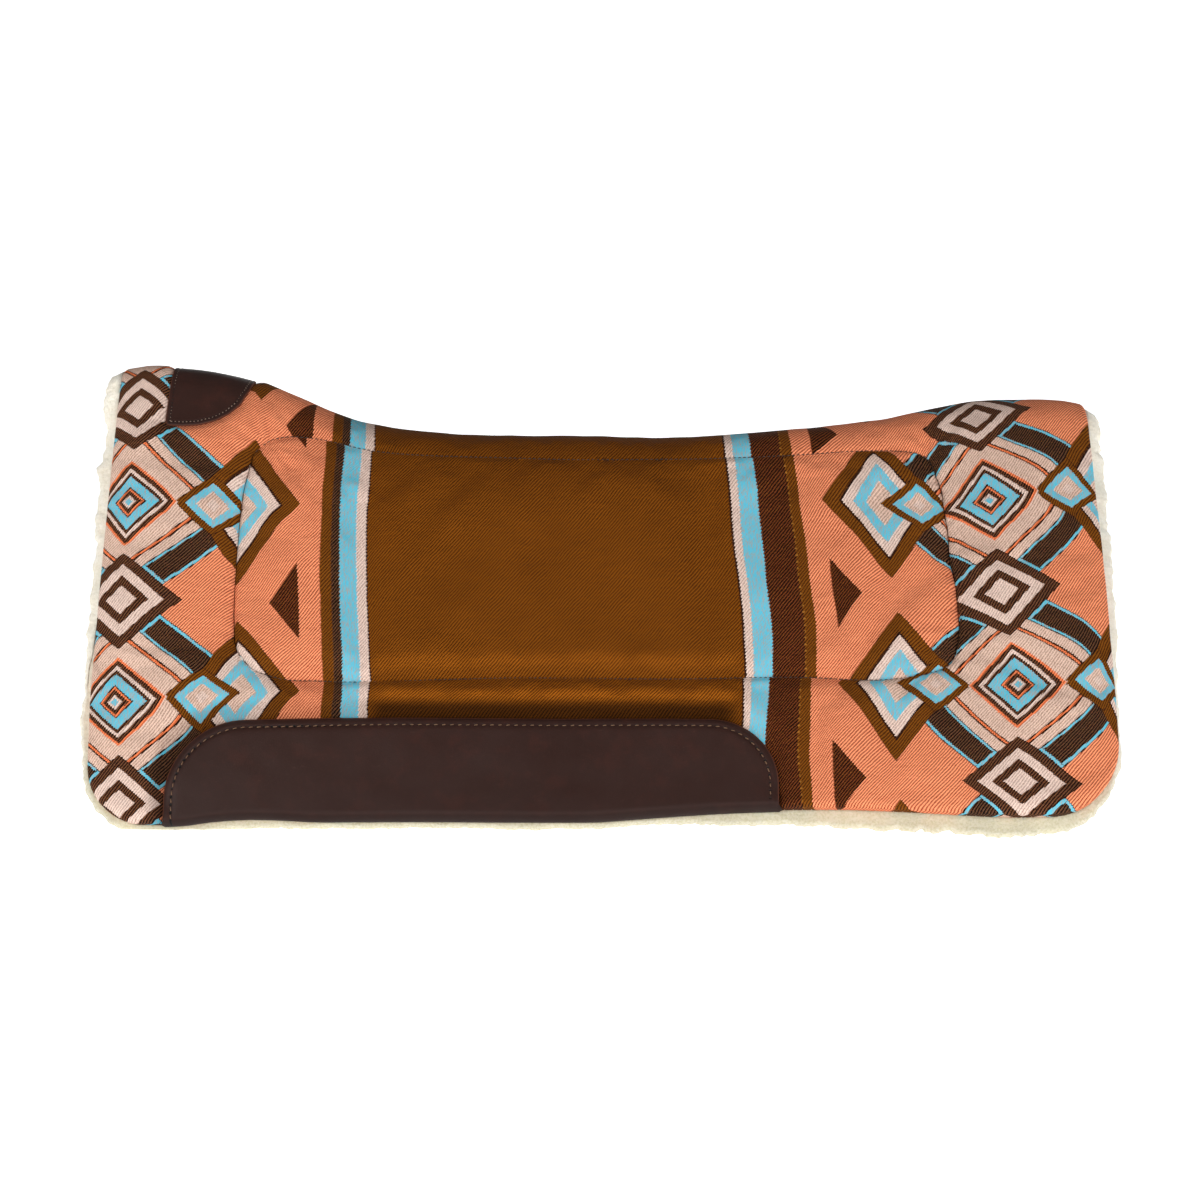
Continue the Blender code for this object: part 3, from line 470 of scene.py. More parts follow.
def column_stops(step, round_steps):
    """Columns u from front to rear, closer at the rounded corners."""
    flat_front, flat_rear = FRONT_LOW - CORNER_FRONT, REAR_LOW - CORNER_REAR
    theta = np.linspace(0, math.pi / 2, round_steps + 1)[1:]
    theta[:-1] = theta[:-1] * 0.94 + 0.06 * theta[:-1] ** 2 / (math.pi / 2)
    rear = (flat_rear + CORNER_REAR * np.sin(theta)) / REAR_LOW
    front = -(flat_front + CORNER_FRONT * np.sin(theta)) / FRONT_LOW
    count = int(round((flat_front + flat_rear) / step))
    while (count + 2 * round_steps) % 3:
        count += 1
    middle = np.linspace(-flat_front, flat_rear, count + 1)
    middle = np.where(middle < 0, middle / FRONT_LOW, middle / REAR_LOW)
    return np.concatenate((front[::-1], middle, rear))


def half_grid(us, vs, start=0.0004):
    """x and arc t of each grid point, from the ridge to the cover's lower edge."""
    u = us[:, None]
    edge = cover_edge(us)[:, None]
    t = start + (edge - start) * vs[None, :]
    return along(u, t), t


def outline_of(x, t):
    """Free edge of a half grid: down the front, along the bottom, up the rear."""
    return np.concatenate((np.stack((x[0, :], t[0, :]), -1), np.stack((x[1:, -1], t[1:, -1]), -1),
                           np.stack((x[-1, -2::-1], t[-1, -2::-1]), -1)))


def loop_of(n, m):
    """Indices round a grid's whole border: front side, lower side, rear side, ridge side."""
    return ([(0, j) for j in range(m - 1)] + [(i, m - 1) for i in range(n - 1)]
            + [(n - 1, j) for j in range(m - 1, 0, -1)] + [(i, 0) for i in range(n - 1, 0, -1)])


def inward(x, t, loop):
    """Unit direction into the sheet at each border point, in (x, t)."""
    p = np.array([(x[i, j], t[i, j]) for i, j in loop])
    d = np.roll(p, -1, axis=0) - np.roll(p, 1, axis=0)
    w = np.stack((-d[:, 1], d[:, 0]), -1)
    w /= np.linalg.norm(w, axis=1, keepdims=True) + 1e-15
    area = (p[:, 0] * np.roll(p[:, 1], -1) - np.roll(p[:, 0], -1) * p[:, 1]).sum()
    return p, w * (1 if area > 0 else -1)


def build(name, verts, faces, flip, attributes=None, smooth_all=True):
    """A mesh object from numpy points and faces, with point attributes."""
    if flip:
        faces = [f[::-1] for f in faces]
    mesh = bpy.data.meshes.new(name)
    mesh.from_pydata(np.asarray(verts, float).tolist(), [], faces)
    for key, values in (attributes or {}).items():
        values = np.asarray(values, np.float32)
        kind = "FLOAT" if values.ndim == 1 else "FLOAT_VECTOR"
        layer = mesh.attributes.new(key, kind, "POINT")
        layer.data.foreach_set("value" if kind == "FLOAT" else "vector", values.ravel())
    if smooth_all:
        mesh.shade_smooth()
    mesh.update()
    ob = bpy.data.objects.new(name, mesh)
    bpy.context.scene.collection.objects.link(ob)
    return ob


def closed_sheet(name, face, rings, back, k, flip, attributes=None):
    """A closed sheet: a fine face grid, rings of points round its border, and a back grid k times coarser.

    attributes are given for the face as (n, m) or (n, m, 3) arrays; rings take their border's values
    and the back takes the face's.
    """
    n, m = face.shape[:2]
    loop = loop_of(n, m)
    size = len(loop)
    faces = []
    at = np.arange(n * m).reshape(n, m)
    a, b, c, d = at[:-1, :-1], at[1:, :-1], at[1:, 1:], at[:-1, 1:]
    faces += np.stack((a, b, c, d), -1).reshape(-1, 4).tolist()
    verts = [face.reshape(-1, 3)]
    last = [i * m + j for i, j in loop]
    base = n * m
    for ring in rings:
        verts.append(np.asarray(ring))
        now = list(range(base, base + size))
        for q in range(size):
            r = (q + 1) % size
            faces.append([last[q], last[r], now[r], now[q]])
        last = now
        base += size
    bn, bm = back.shape[:2]
    verts.append(back.reshape(-1, 3))
    bat = base + np.arange(bn * bm).reshape(bn, bm)
    a, b, c, d = bat[:-1, :-1], bat[1:, :-1], bat[1:, 1:], bat[:-1, 1:]
    faces += np.stack((a, d, c, b), -1).reshape(-1, 4).tolist()
    back_loop = [int(bat[i, j]) for i, j in loop_of(bn, bm)]
    for q in range(len(back_loop)):
        r = (q + 1) % len(back_loop)
        faces.append([last[(q * k + s) % size] for s in range(k + 1)] + [back_loop[r], back_loop[q]])
    full = {}
    for key, values in (attributes or {}).items():
        rim = np.array([values[i, j] for i, j in loop])
        full[key] = np.concatenate([values.reshape(n * m, *values.shape[2:])] + [rim] * len(rings)
                                   + [values[::k, ::k].reshape(bn * bm, *values.shape[2:])])
    # the face of a near-side grid (x to the rear, t down) looks out with this winding
    return build(name, np.concatenate(verts), faces, flip, full)


# --------------------------------------------------------------------------
# what lies on the cover
# --------------------------------------------------------------------------
def wear_box(x, t, grow=0.0):
    """Signed distance (inside negative) to the wear leather's outline, lower edge left open."""
    top = lower_edge(x) - WEAR_ABOVE_EDGE - grow
    x0, x1 = WEAR_FRONT - grow, WEAR_REAR + grow
    out = np.full(np.shape(x), -1.0)
    for edge, sign, r in ((x0, -1, WEAR_CORNER_FRONT), (x1, 1, WEAR_CORNER_REAR)):
        dx = sign * (x - edge) + r
        dt = top - t + r
        corner = np.where((dx > 0) & (dt > 0), np.hypot(dx, dt), np.maximum(dx, dt)) - r
        out = np.maximum(out, corner)
    return out


PATCH_LINE = np.array([(x, t) for x, t in PATCH] + [(x, -t) for x, t in PATCH[-2:0:-1]])
PATCH_EDGE, PATCH_AROUND = closed_curve(
    [(x, t) for x, t in [(-0.3500, 0.0), (-0.3508, 0.012), (-0.3530, 0.035), (-0.3546, 0.055), (-0.3552, 0.0625), (-0.3535, 0.0660),
                         (-0.3490, 0.0668), (-0.3430, 0.0667), (-0.3290, 0.0647), (-0.3150, 0.0590), (-0.3040, 0.0507),
                         (-0.2950, 0.0400), (-0.2880, 0.0235), (-0.2850, 0.0100)]]
    + [(-0.2842, 0.0)]
    + [(x, -t) for x, t in [(-0.2850, 0.0100), (-0.2880, 0.0235), (-0.2950, 0.0400), (-0.3040, 0.0507), (-0.3150, 0.0590),
                            (-0.3290, 0.0647), (-0.3430, 0.0667), (-0.3490, 0.0668), (-0.3535, 0.0660), (-0.3552, 0.0625),
                            (-0.3546, 0.055), (-0.3530, 0.035), (-0.3508, 0.012)]], 480)


def press(d):
    """How deep the wither patch is drawn into the padding; d is the distance outside its edge."""
    return 0.0042 * (1 - smooth((d + 0.004) / 0.012))


def tuck(d):
    """How deep stitching draws the cloth in along the wear leather's edge; d is the distance outside it."""
    return 0.0026 * np.exp(-(d / 0.0055) ** 2)


def under_leather(x, t):
    """1 where leather lies flat on the cover, falling to 0 just outside its edge."""
    wear = 1 - smooth((wear_box(x, t) + 0.003) / 0.009)
    patch = 1 - smooth((nearest(x, t, PATCH_EDGE)[0] + 0.003) / 0.008)
    return np.maximum(wear, patch)


# --------------------------------------------------------------------------
# cloth simulation: the cover swells between its seams
# --------------------------------------------------------------------------
def swell(us, vs):
    """Displacement of the cover, found by a pressure simulation on a coarser grid, along normal, x and t."""
    gu = column_stops(0.0078, 5)
    gv = np.linspace(0, 1, 52)
    x, t = half_grid(gu, gv)
    d, depth, _ = seam_at(x, t)
    a = np.abs(d)
    start = surface(x, -t, -0.6 * depth * np.exp(-a / 0.006))
    n, m = x.shape
    at = np.arange(n * m).reshape(n, m)
    quads = np.stack((at[:-1, :-1], at[:-1, 1:], at[1:, 1:], at[1:, :-1]), -1).reshape(-1, 4).tolist()
    ob = build("swell", start.reshape(-1, 3), quads, False)
    hold = np.full((n, m), 0.10)
    hold[:, 0] = hold[:, -1] = hold[0] = hold[-1] = 1.0
    hold = np.maximum(hold, np.exp(-(a / 0.0045) ** 2))
    hold = np.maximum(hold, 0.97 * under_leather(x, t))
    hold = np.where(a < 0.0030, 1.0, hold)
    group = ob.vertex_groups.new(name="hold")
    for k, w in enumerate(hold.ravel()):
        group.add([k], float(w), "REPLACE")
    mod = ob.modifiers.new("cloth", "CLOTH")
    s = mod.settings
    s.quality = 6
    s.mass = 0.25
    s.tension_stiffness = s.compression_stiffness = 12
    s.shear_stiffness = 4
    s.bending_stiffness = 0.6
    s.tension_damping = s.compression_damping = 8
    s.air_damping = 2
    s.vertex_group_mass = "hold"
    s.pin_stiffness = 1.2
    s.shrink_min = -0.012
    s.use_pressure = True
    s.uniform_pressure_force = 1.1
    s.effector_weights.gravity = 0.0
    mod.collision_settings.use_collision = False
    scene = bpy.context.scene
    mod.point_cache.frame_start, mod.point_cache.frame_end = 1, 24
    for f in range(1, 23):
        scene.frame_set(f)
    got = ob.evaluated_get(bpy.context.evaluated_depsgraph_get()).to_mesh()
    co = np.empty(n * m * 3)
    got.vertices.foreach_get("co", co)
    bpy.data.objects.remove(ob, do_unlink=True)
    scene.frame_set(1)
    move = co.reshape(n, m, 3) - start
    nor = normals(x, -t)
    ex = np.array((1.0, 0, 0)) - nor * nor[..., :1]
    ex /= np.linalg.norm(ex, axis=-1, keepdims=True)
    et = np.cross(nor, ex)
    et *= np.sign((et * (outer(x, -t - 0.001) - outer(x, -t))).sum(-1, keepdims=True))
    parts = np.stack(((move * nor).sum(-1), (move * ex).sum(-1), (move * et).sum(-1)), -1)
    print("swell: normal mm", np.percentile(parts[..., 0] * 1000, (0, 5, 50, 95, 100)).round(2))
    up = parts[..., 0]
    parts[..., 0] = np.where(up > 0, 0.0068 * np.tanh(up / 0.0068), 0.0004 * np.tanh(up / 0.002))
    parts[..., 1:] = 0.0014 * np.tanh(parts[..., 1:] / 0.0014)
    parts *= smooth(t / 0.035)[..., None]
    # bring it to the finer grid
    iu = np.interp(us, gu, np.arange(n))
    iv = np.interp(vs, gv, np.arange(m))
    i0 = np.clip(iu.astype(int), 0, n - 2)
    j0 = np.clip(iv.astype(int), 0, m - 2)
    fu, fv = (iu - i0)[:, None, None], (iv - j0)[None, :, None]
    g = parts
    return (g[i0][:, j0] * (1 - fu) * (1 - fv) + g[i0 + 1][:, j0] * fu * (1 - fv)
            + g[i0][:, j0 + 1] * (1 - fu) * fv + g[i0 + 1][:, j0 + 1] * fu * fv)


# --------------------------------------------------------------------------
# the woven cover
# --------------------------------------------------------------------------
US = column_stops(0.0024, 21)
VS = stops([0.0, (0.018, 6), (0.966, 162), (1.0, 9)])
while (len(VS) - 1) % 3:
    VS = stops([0.0, (0.018, 6), (0.966, 162 + len(VS) % 3), (1.0, 9)])
GX, GT = half_grid(US, VS, 0.00005)
# the grid's points beside the seam move onto it, so that the crease is clean
_d, _, _foot = nearest_foot(GX, GT, SEAM_LINE)
_near = np.abs(_d) < 0.00115
GX[_near], GT[_near] = _foot[_near, 0], _foot[_near, 1]

EDGE_ROUND = 0.0050
OUTLINE = outline_of(*half_grid(US, VS))
SEAM_D, SEAM_DEPTH, SEAM_S, SEAM_GROW = seam_field(GX, GT)
SEAM_D[_near] = 0.0
EDGE_D = np.abs(nearest(GX, GT, OUTLINE, closed=False)[0])
LEATHERED = under_leather(GX, GT)
WEAR_D = wear_box(GX, GT)
PRESSED = press(nearest(GX, GT, PATCH_EDGE)[0])
SWELL = swell(US, VS)


def rounding(d):
    return -(EDGE_ROUND - np.sqrt(EDGE_ROUND**2 - np.clip(EDGE_ROUND - d, 0, EDGE_ROUND) ** 2))


def cover_height():
    """Height of every cover grid point over the CAD surface, and its shift in x and t."""
    a = np.abs(SEAM_D)
    n = groove(SEAM_D, SEAM_DEPTH)
    n = np.where(_near, -SEAM_DEPTH, n)
    n = n + SWELL[..., 0] * smooth(a / 0.006)
    # gathers across the seam, shorter on the bottom seam than at the deep ends
    deep = np.minimum(SEAM_DEPTH / 0.006, 1.0)
    gather = np.sin(SEAM_S / 0.0105 * math.tau + 2.2 * waves(GX, GT, 5, 0.06)) + 0.6 * np.sin(SEAM_S / 0.0061 * math.tau)
    n = n + gather * (0.00018 + 0.00034 * deep) * np.exp(-((a - 0.0045) / 0.0050) ** 2)
    # wrinkles that leave the corners of the seam
    for (cx, ct), angle, count in (((-0.2650, 0.2640), 2.2, 5), ((-0.2700, 0.0700), 0.9, 3), ((0.2640, 0.2570), 0.8, 4), ((0.2690, 0.0600), 2.4, 4)):
        rx, rt = GX - cx, GT - ct
        r = np.hypot(rx, rt)
        phi = np.arctan2(rt, rx)
        fan = np.cos((phi - angle) * 9 + waves(GX, GT, 11 + count, 0.05) * 0.8)
        n = n + 0.0009 * fan * np.exp(-((r - 0.016) / 0.014) ** 2)
    n = n + 0.00045 * waves(GX, GT, 3, 0.11) + 0.00022 * waves(GX, GT, 8, 0.035)
    # the cloth swells again between the quilting and the wear leather
    beside = smooth((WEAR_D - 0.001) / 0.010) * (1 - smooth((WEAR_D - 0.014) / 0.020))
    n = n + 0.0026 * beside
    n = n * (1 - LEATHERED) - (0.0004 + 0.0013 * (1 - smooth((EDGE_D - 0.006) / 0.012))) * LEATHERED - PRESSED - tuck(WEAR_D)
    n = n - 0.0010 * np.exp(-GT / 0.0016) * (1 - LEATHERED)
    edge_wave = 0.0006 * waves(GX, GT, 21, 0.045) * np.exp(-EDGE_D / 0.012) * (1 - LEATHERED)
    n = n + rounding(EDGE_D) + edge_wave
    dx, dt = pull(SEAM_D, SEAM_DEPTH, SEAM_GROW)
    dx, dt = np.where(_near, 0, dx), np.where(_near, 0, dt)
    fade = (1 - LEATHERED) * smooth(EDGE_D / 0.02)
    return n, (dx + SWELL[..., 1] * smooth(a / 0.006)) * fade, (dt + SWELL[..., 2] * smooth(a / 0.006)) * fade


COVER_N, COVER_DX, COVER_DT = cover_height()


def painted_sheen_and_shade():
    """Brightness painted into the cloth: painted highlights in bands beside the lower quilting, and painted shade along
    the wear leather's edge and near the ridge.
    """
    field = smooth((GX + 0.192) / 0.020)
    low_seam = smooth((GT - 0.19) / 0.05) * field * smooth((0.26 - GX) / 0.05)
    # painted highlight: bright bands inside the lower seam and between that seam and the wear leather
    tone = 1 + 0.46 * np.exp(-((SEAM_D + 0.0150) / 0.0062) ** 2) * (SEAM_D < 0) * low_seam
    tone = tone + 0.72 * np.exp(-((WEAR_D - 0.0190) / 0.0050) ** 2) * (SEAM_D > 0) * low_seam
    # painted shade along the wear leather's edge, where the cloth dips under it; weaker outside the golden field
    dark = 0.76 * (1 - smooth((WEAR_D - 0.0070) / 0.0100)) * (WEAR_D > -0.02) * (0.42 + 0.58 * field)
    ahead = smooth((0.120 - GX) / 0.024)
    # painted shade on the cloth near the ridge, which faces up away from the light
    top = 0.17 * (1 - smooth((GT - 0.03) / 0.09)) * smooth((GX + 0.26) / 0.05) * smooth((0.11 - GX) / 0.05)
    return (1 + (tone * (1 - dark) - 1) * ahead) * (1 - top)


PAINTED_TONE = painted_sheen_and_shade()


def make_cover(side):
    sign = -1.0 if side == "near" else 1.0
    x, t = GX + COVER_DX, np.maximum(GT + COVER_DT, 0.00005)
    t[:, 0] = 0.00005
    face = surface(x, sign * t, COVER_N)
    loop = loop_of(*GX.shape)
    p, w = inward(GX, GT, loop)
    free = np.array([1.0 if (j > 0 or i in (0, len(US) - 1)) else 0.0 for i, j in loop])
    w = w * free[:, None]
    top = np.array([COVER_N[i, j] for i, j in loop])
    rings = []
    for inset, depth in ((0.0, 0.0070), (0.0, 0.0098), (0.0002, 0.0126), (0.0006, 0.0146), (0.0012, 0.0157),
                         (0.0018, 0.0150), (0.0022, 0.0120), (0.0024, 0.0080)):
        level = np.where(free > 0, -depth, top - 0.0012 * depth / 0.016)
        q = p + w * inset
        rings.append(surface(q[:, 0], sign * np.maximum(q[:, 1], 0.00005), level))
    bx, bt, bn = x[::3, ::3].copy(), t[::3, ::3].copy(), COVER_N[::3, ::3].copy()
    a = np.abs(SEAM_D[::3, ::3])
    bn = np.minimum(bn, 0.0) - 0.0013 - 0.0062 * np.exp(-(a / 0.009) ** 2) * np.minimum(SEAM_DEPTH[::3, ::3] / 0.0072, 1)
    index = {key: k for k, key in enumerate(loop)}
    for k3, (i, j) in enumerate(loop_of(*bx.shape)):
        k = index[(i * 3, j * 3)]
        q = p[k] + w[k] * 0.0026
        bx[i, j], bt[i, j] = q[0], max(q[1], 0.00005)
        bn[i, j] = -0.0068 if free[k] else top[k] - 0.0013
    back = surface(bx, sign * bt, bn)
    into, out = CLOTH_IN(GX, GT), CLOTH_OUT(GX, GT)
    ones = np.zeros((*GX.shape, 1))
    seam_mm = np.clip(SEAM_D * 1000, -60, 60)
    # the tone attribute carries the painted highlights and painted shade to the woven material
    ob = closed_sheet("woven_cover_" + side, face, rings, back, 3, side == "near", {
        "cloth_in": np.concatenate((into, ones), -1), "cloth_out": np.concatenate((out, ones), -1),
        "seam_side": seam_mm, "seam_deep": SEAM_DEPTH * 1000, "edge_near": EDGE_D * 1000, "seam_along": SEAM_S * 1000, "tone": PAINTED_TONE})
    # the weave runs on over the turned edge
    run = np.cumsum([0.0020, 0.0028, 0.0028, 0.0021, 0.0013, 0.0012, 0.0032, 0.0040]) * 1000
    for key in ("cloth_in", "cloth_out"):
        layer = ob.data.attributes[key]
        value = np.empty(len(layer.data) * 3, np.float32)
        layer.data.foreach_get("vector", value)
        value = value.reshape(-1, 3)
        for k, length in enumerate(run):
            a = GX.size + k * len(loop)
            value[a:a + len(loop), :2] -= w * length
        layer.data.foreach_set("vector", value.ravel())
    return ob


# --------------------------------------------------------------------------
# materials
# --------------------------------------------------------------------------
def linear(rgb):
    c = np.array(rgb, float) / 255.0
    c = np.where(c <= 0.04045, c / 12.92, ((c + 0.055) / 1.055) ** 2.4)
    return (float(c[0]), float(c[1]), float(c[2]), 1.0)


class Graph:
    """A material's node tree, with short names for the nodes used here."""

    def __init__(self, name, colour):
        self.mat = bpy.data.materials.new(name)
        self.mat.use_nodes = True
        self.mat.diffuse_color = linear(colour)
        self.nodes = self.mat.node_tree.nodes
        self.links = self.mat.node_tree.links
        self.bsdf = self.nodes["Principled BSDF"]

    def put(self, socket, value):
        if isinstance(value, bpy.types.NodeSocket):
            self.links.new(value, socket)
        else:
            socket.default_value = value

    def math(self, op, a, b=None, c=None, clamp=False):
        n = self.nodes.new("ShaderNodeMath")
        n.operation = op
        n.use_clamp = clamp
        for k, v in enumerate((a, b, c)):
            if v is not None:
                self.put(n.inputs[k], v)
        return n.outputs[0]

    def add(self, a, b): return self.math("ADD", a, b)
    def sub(self, a, b): return self.math("SUBTRACT", a, b)
    def mul(self, a, b): return self.math("MULTIPLY", a, b)
    def least(self, a, b): return self.math("MINIMUM", a, b)
    def most(self, a, b): return self.math("MAXIMUM", a, b)

    def above(self, x, edge, soft):
        """0 below edge, 1 above it, over a width of soft."""
        return self.math("MULTIPLY_ADD", x, 1.0 / soft, 0.5 - edge / soft, clamp=True)

    def below(self, x, edge, soft):
        return self.math("MULTIPLY_ADD", x, -1.0 / soft, 0.5 + edge / soft, clamp=True)

    def wave(self, x, period, phase=0.0):
        """A sine between 0 and 1."""
        s = self.math("SINE", self.math("MULTIPLY_ADD", x, math.tau / period, phase))
        return self.math("MULTIPLY_ADD", s, 0.5, 0.5)

    def mix(self, f, a, b, blend="MIX"):
        n = self.nodes.new("ShaderNodeMix")
        n.data_type = "RGBA"
        n.blend_type = blend
        self.put(n.inputs[0], f)
        self.put(n.inputs[6], a)
        self.put(n.inputs[7], b)
        return n.outputs[2]

    def attribute(self, name, output="Fac"):
        n = self.nodes.new("ShaderNodeAttribute")
        n.attribute_name = name
        return n.outputs[output]

    def separate(self, v):
        n = self.nodes.new("ShaderNodeSeparateXYZ")
        self.put(n.inputs[0], v)
        return n.outputs[0], n.outputs[1], n.outputs[2]

    def combine(self, x, y, z):
        n = self.nodes.new("ShaderNodeCombineXYZ")
        for k, v in enumerate((x, y, z)):
            self.put(n.inputs[k], v)
        return n.outputs[0]

    def place(self):
        return self.nodes.new("ShaderNodeTexCoord").outputs["Object"]

    def noise(self, at, scale, detail=2.0, rough=0.5):
        n = self.nodes.new("ShaderNodeTexNoise")
        self.put(n.inputs["Vector"], at)
        n.inputs["Scale"].default_value = scale
        n.inputs["Detail"].default_value = detail
        n.inputs["Roughness"].default_value = rough
        return n.outputs[0]

    def cells(self, at, scale, feature="F1", rand=1.0):
        n = self.nodes.new("ShaderNodeTexVoronoi")
        n.feature = feature
        self.put(n.inputs["Vector"], at)
        n.inputs["Scale"].default_value = scale
        n.inputs["Randomness"].default_value = rand
        return n.outputs["Distance"]

    def ramp(self, x, stops, constant=True):
        n = self.nodes.new("ShaderNodeValToRGB")
        n.color_ramp.interpolation = "CONSTANT" if constant else "LINEAR"
        e = n.color_ramp.elements
        while len(e) < len(stops):
            e.new(1.0)
        for k, (p, c) in enumerate(sorted(stops, key=lambda q: q[0])):
            e[k].position = p
            e[k].color = c
        self.put(n.inputs[0], x)
        return n.outputs[0]

    def bump(self, height, distance, strength=1.0, under=None):
        n = self.nodes.new("ShaderNodeBump")
        n.inputs["Strength"].default_value = strength
        n.inputs["Distance"].default_value = distance
        self.put(n.inputs["Height"], height)
        if under is not None:
            self.put(n.inputs["Normal"], under)
        return n.outputs[0]


# yarn colours: the bright floats and the darker ground between them
YARN = {
    "salmon": ((255, 160, 116), (128, 44, 22)),
    "golden": ((130, 74, 18), (40, 18, 4)),
    "field": ((135, 75, 14), (45, 20, 2)),
    "dark": ((103, 70, 49), (8, 5, 4)),
    "tip": ((120, 61, 27), (12, 6, 4)),
    "brown": ((118, 76, 52), (22, 12, 8)),
    "blue": ((90, 190, 214), (156, 162, 164)),
    "white": ((234, 208, 194), (166, 138, 126)),
    "beige": ((230, 197, 179), (158, 126, 108)),
    "orange": ((252, 138, 88), (172, 78, 44)),
    "rim": ((62, 34, 20), (26, 13, 8)),
}


def woven_material(name):
    g = Graph(name, (200, 120, 80))
    side = g.math("GREATER_THAN", g.attribute("seam_side"), 0.0)
    pick = g.nodes.new("ShaderNodeMix")
    pick.data_type = "VECTOR"
    g.put(pick.inputs[0], side)
    g.put(pick.inputs[4], g.attribute("cloth_in", "Vector"))
    g.put(pick.inputs[5], g.attribute("cloth_out", "Vector"))
    X, R, _ = g.separate(pick.outputs[1])

    # twill: floats that climb to the rear, a little uneven
    spot = g.combine(g.mul(X, 0.001), g.mul(R, 0.001), 0.0)
    wander = g.sub(g.noise(spot, 90, 2), 0.5)
    twill_at = g.add(g.add(g.mul(X, 0.766), g.mul(R, 0.643)), g.mul(wander, 1.5))
    twill = g.wave(twill_at, 2.02)
    along_line = g.sub(g.mul(X, 0.643), g.mul(R, 0.766))
    pick_line = g.wave(g.add(along_line, g.mul(g.sub(g.noise(spot, 700, 1), 0.5), 2.0)), 1.35)
    line = g.math("POWER", twill, 0.8)
    float_ = g.add(g.mul(line, 0.72), g.mul(pick_line, 0.28))

    # woven figures have stepped edges
    jag = g.mul(g.sub(g.noise(spot, 520, 1), 0.5), 1.1)
    step = g.mul(g.sub(float_, 0.5), 1.3)
    Xj = g.add(X, g.add(g.add(jag, step), g.mul(wander, 0.7)))
    Rj = g.sub(R, g.mul(jag, 0.8))
    s = g.least(g.math("ABSOLUTE", Xj), g.math("ABSOLUTE", g.sub(Xj, REAR)))
    rear = g.math("GREATER_THAN", X, REAR / 2)
    ra = g.math("ABSOLUTE", g.math("WRAP", Rj, 83.5, -83.5))
    rb = g.sub(83.5, ra)

    def diamond(centre, half_s, half_r, row):
        a = g.math("ABSOLUTE", g.sub(s, centre)) if centre else s
        return g.add(g.mul(a, 1.0 / half_s), g.mul(row, 1.0 / half_r))

    dA = diamond(0, 47.7, 38.8, ra)
    dB = diamond(0, 39.8, 37.7, rb)
    dC = diamond(67.3, 30.2, 25.4, rb)
    dE = diamond(95.5, 47.5, 62.6, rb)

    def bands(x, stops, scale):
        """The two yarn colours of a row of bands; each stop is where a band starts."""
        x = g.mul(x, 1.0 / scale)
        return [g.ramp(x, [(p / scale, linear(YARN[c][k])) for p, c in stops]) for k in (0, 1)]

    def over(mask, top, bottom):
        return [g.mix(mask, bottom[k], top[k]) for k in (0, 1)]

    def hard(x, edge):
        return g.math("LESS_THAN", x, edge)

    front_bands = bands(g.sub(s, 140.0), [(0, "salmon"), (23, "golden"), (31.5, "dark"), (38, "blue"), (52, "white"), (60, "rim"), (61.3, "field")], 100)
    rear_bands = bands(g.sub(s, 140.0), [(0, "salmon"), (23, "golden"), (31.3, "tip"), (57, "blue"), (71.5, "white"), (78, "rim"), (79.4, "field")], 100)
    ground = over(rear, rear_bands, front_bands)

    tri = g.add(g.mul(ra, 1 / 31.0), g.mul(g.sub(146.5, s), 1 / 24.5))
    tri = g.mul(hard(tri, 1.0), hard(s, 146.5))
    flat = lambda c: [linear(YARN[c][0]), linear(YARN[c][1])]
    cloth = over(tri, flat("tip"), ground)

    outer_b = bands(dB, [(0, "beige"), (1.455, "rim"), (1.495, "orange"), (1.56, "rim"), (1.60, "beige"), (1.90, "rim"), (1.935, "blue"), (1.985, "rim"),
                         (2.01, "dark"), (2.61, "rim"), (2.64, "blue"), (2.715, "rim"), (2.735, "salmon")], 4)
    near_column = g.mul(hard(dB, 2.745), hard(s, 118.0))
    cloth = over(near_column, outer_b, cloth)
    # where a bar meets a diamond it ends in a blue line
    bar = g.mul(g.math("GREATER_THAN", dB, 1.935), hard(dB, 2.715))
    cloth = over(g.mul(bar, hard(dA, 1.10)), flat("rim"), cloth)
    cloth = over(g.mul(bar, hard(dA, 1.085)), flat("blue"), cloth)

    fig_e = bands(dE, [(0, "beige"), (0.262, "blue"), (0.48, "white"), (0.67, "rim"), (0.715, "golden"), (0.985, "rim")], 2)
    cloth = over(hard(dE, 1.0), fig_e, cloth)
    fig_c = bands(dC, [(0, "white"), (0.19, "beige"), (0.45, "blue"), (0.725, "golden"), (0.975, "rim")], 2)
    cloth = over(hard(dC, 1.0), fig_c, cloth)
    fig_a = bands(dA, [(0, "white"), (0.28, "brown"), (0.48, "white"), (0.72, "brown"), (0.975, "rim")], 2)
    cloth = over(hard(dA, 1.0), fig_a, cloth)
    fig_b = bands(dB, [(0, "blue"), (0.082, "white"), (0.155, "brown"), (0.265, "orange"), (0.318, "rim"), (0.345, "blue"), (0.590, "brown"),
                       (0.680, "white"), (0.775, "brown"), (0.885, "rim"), (0.905, "orange"), (0.972, "beige")], 2)
    cloth = over(hard(dB, 1.0), fig_b, cloth)

    # a row of tied floats along one edge of each golden stripe
    tie_at = g.math("ABSOLUTE", g.sub(s, g.add(171.4, g.mul(g.sub(1.0, rear), 6.6))))
    tie = g.mul(g.mul(hard(tie_at, 0.55), g.above(g.wave(R, 5.6), 0.72, 0.2)), g.add(0.35, g.mul(rear, 0.02)))
    tie_colour = g.mix(rear, linear((120, 112, 100)), linear((206, 142, 62)))
    cloth = [g.mix(tie, c, tie_colour) for c in cloth]

    # uneven dye and rubbed places
    broad = g.noise(spot, 22, 3)
    speck = g.noise(spot, 1500, 2, 0.7)
    slub = g.noise(g.combine(g.mul(X, 0.0012), g.mul(R, 0.012), 0.0), 40, 2)
    share = g.add(g.add(g.math("MULTIPLY_ADD", g.sub(float_, 0.5), 1.25, 0.5), g.mul(g.sub(speck, 0.5), 0.9)), g.mul(g.sub(slub, 0.5), 0.35))
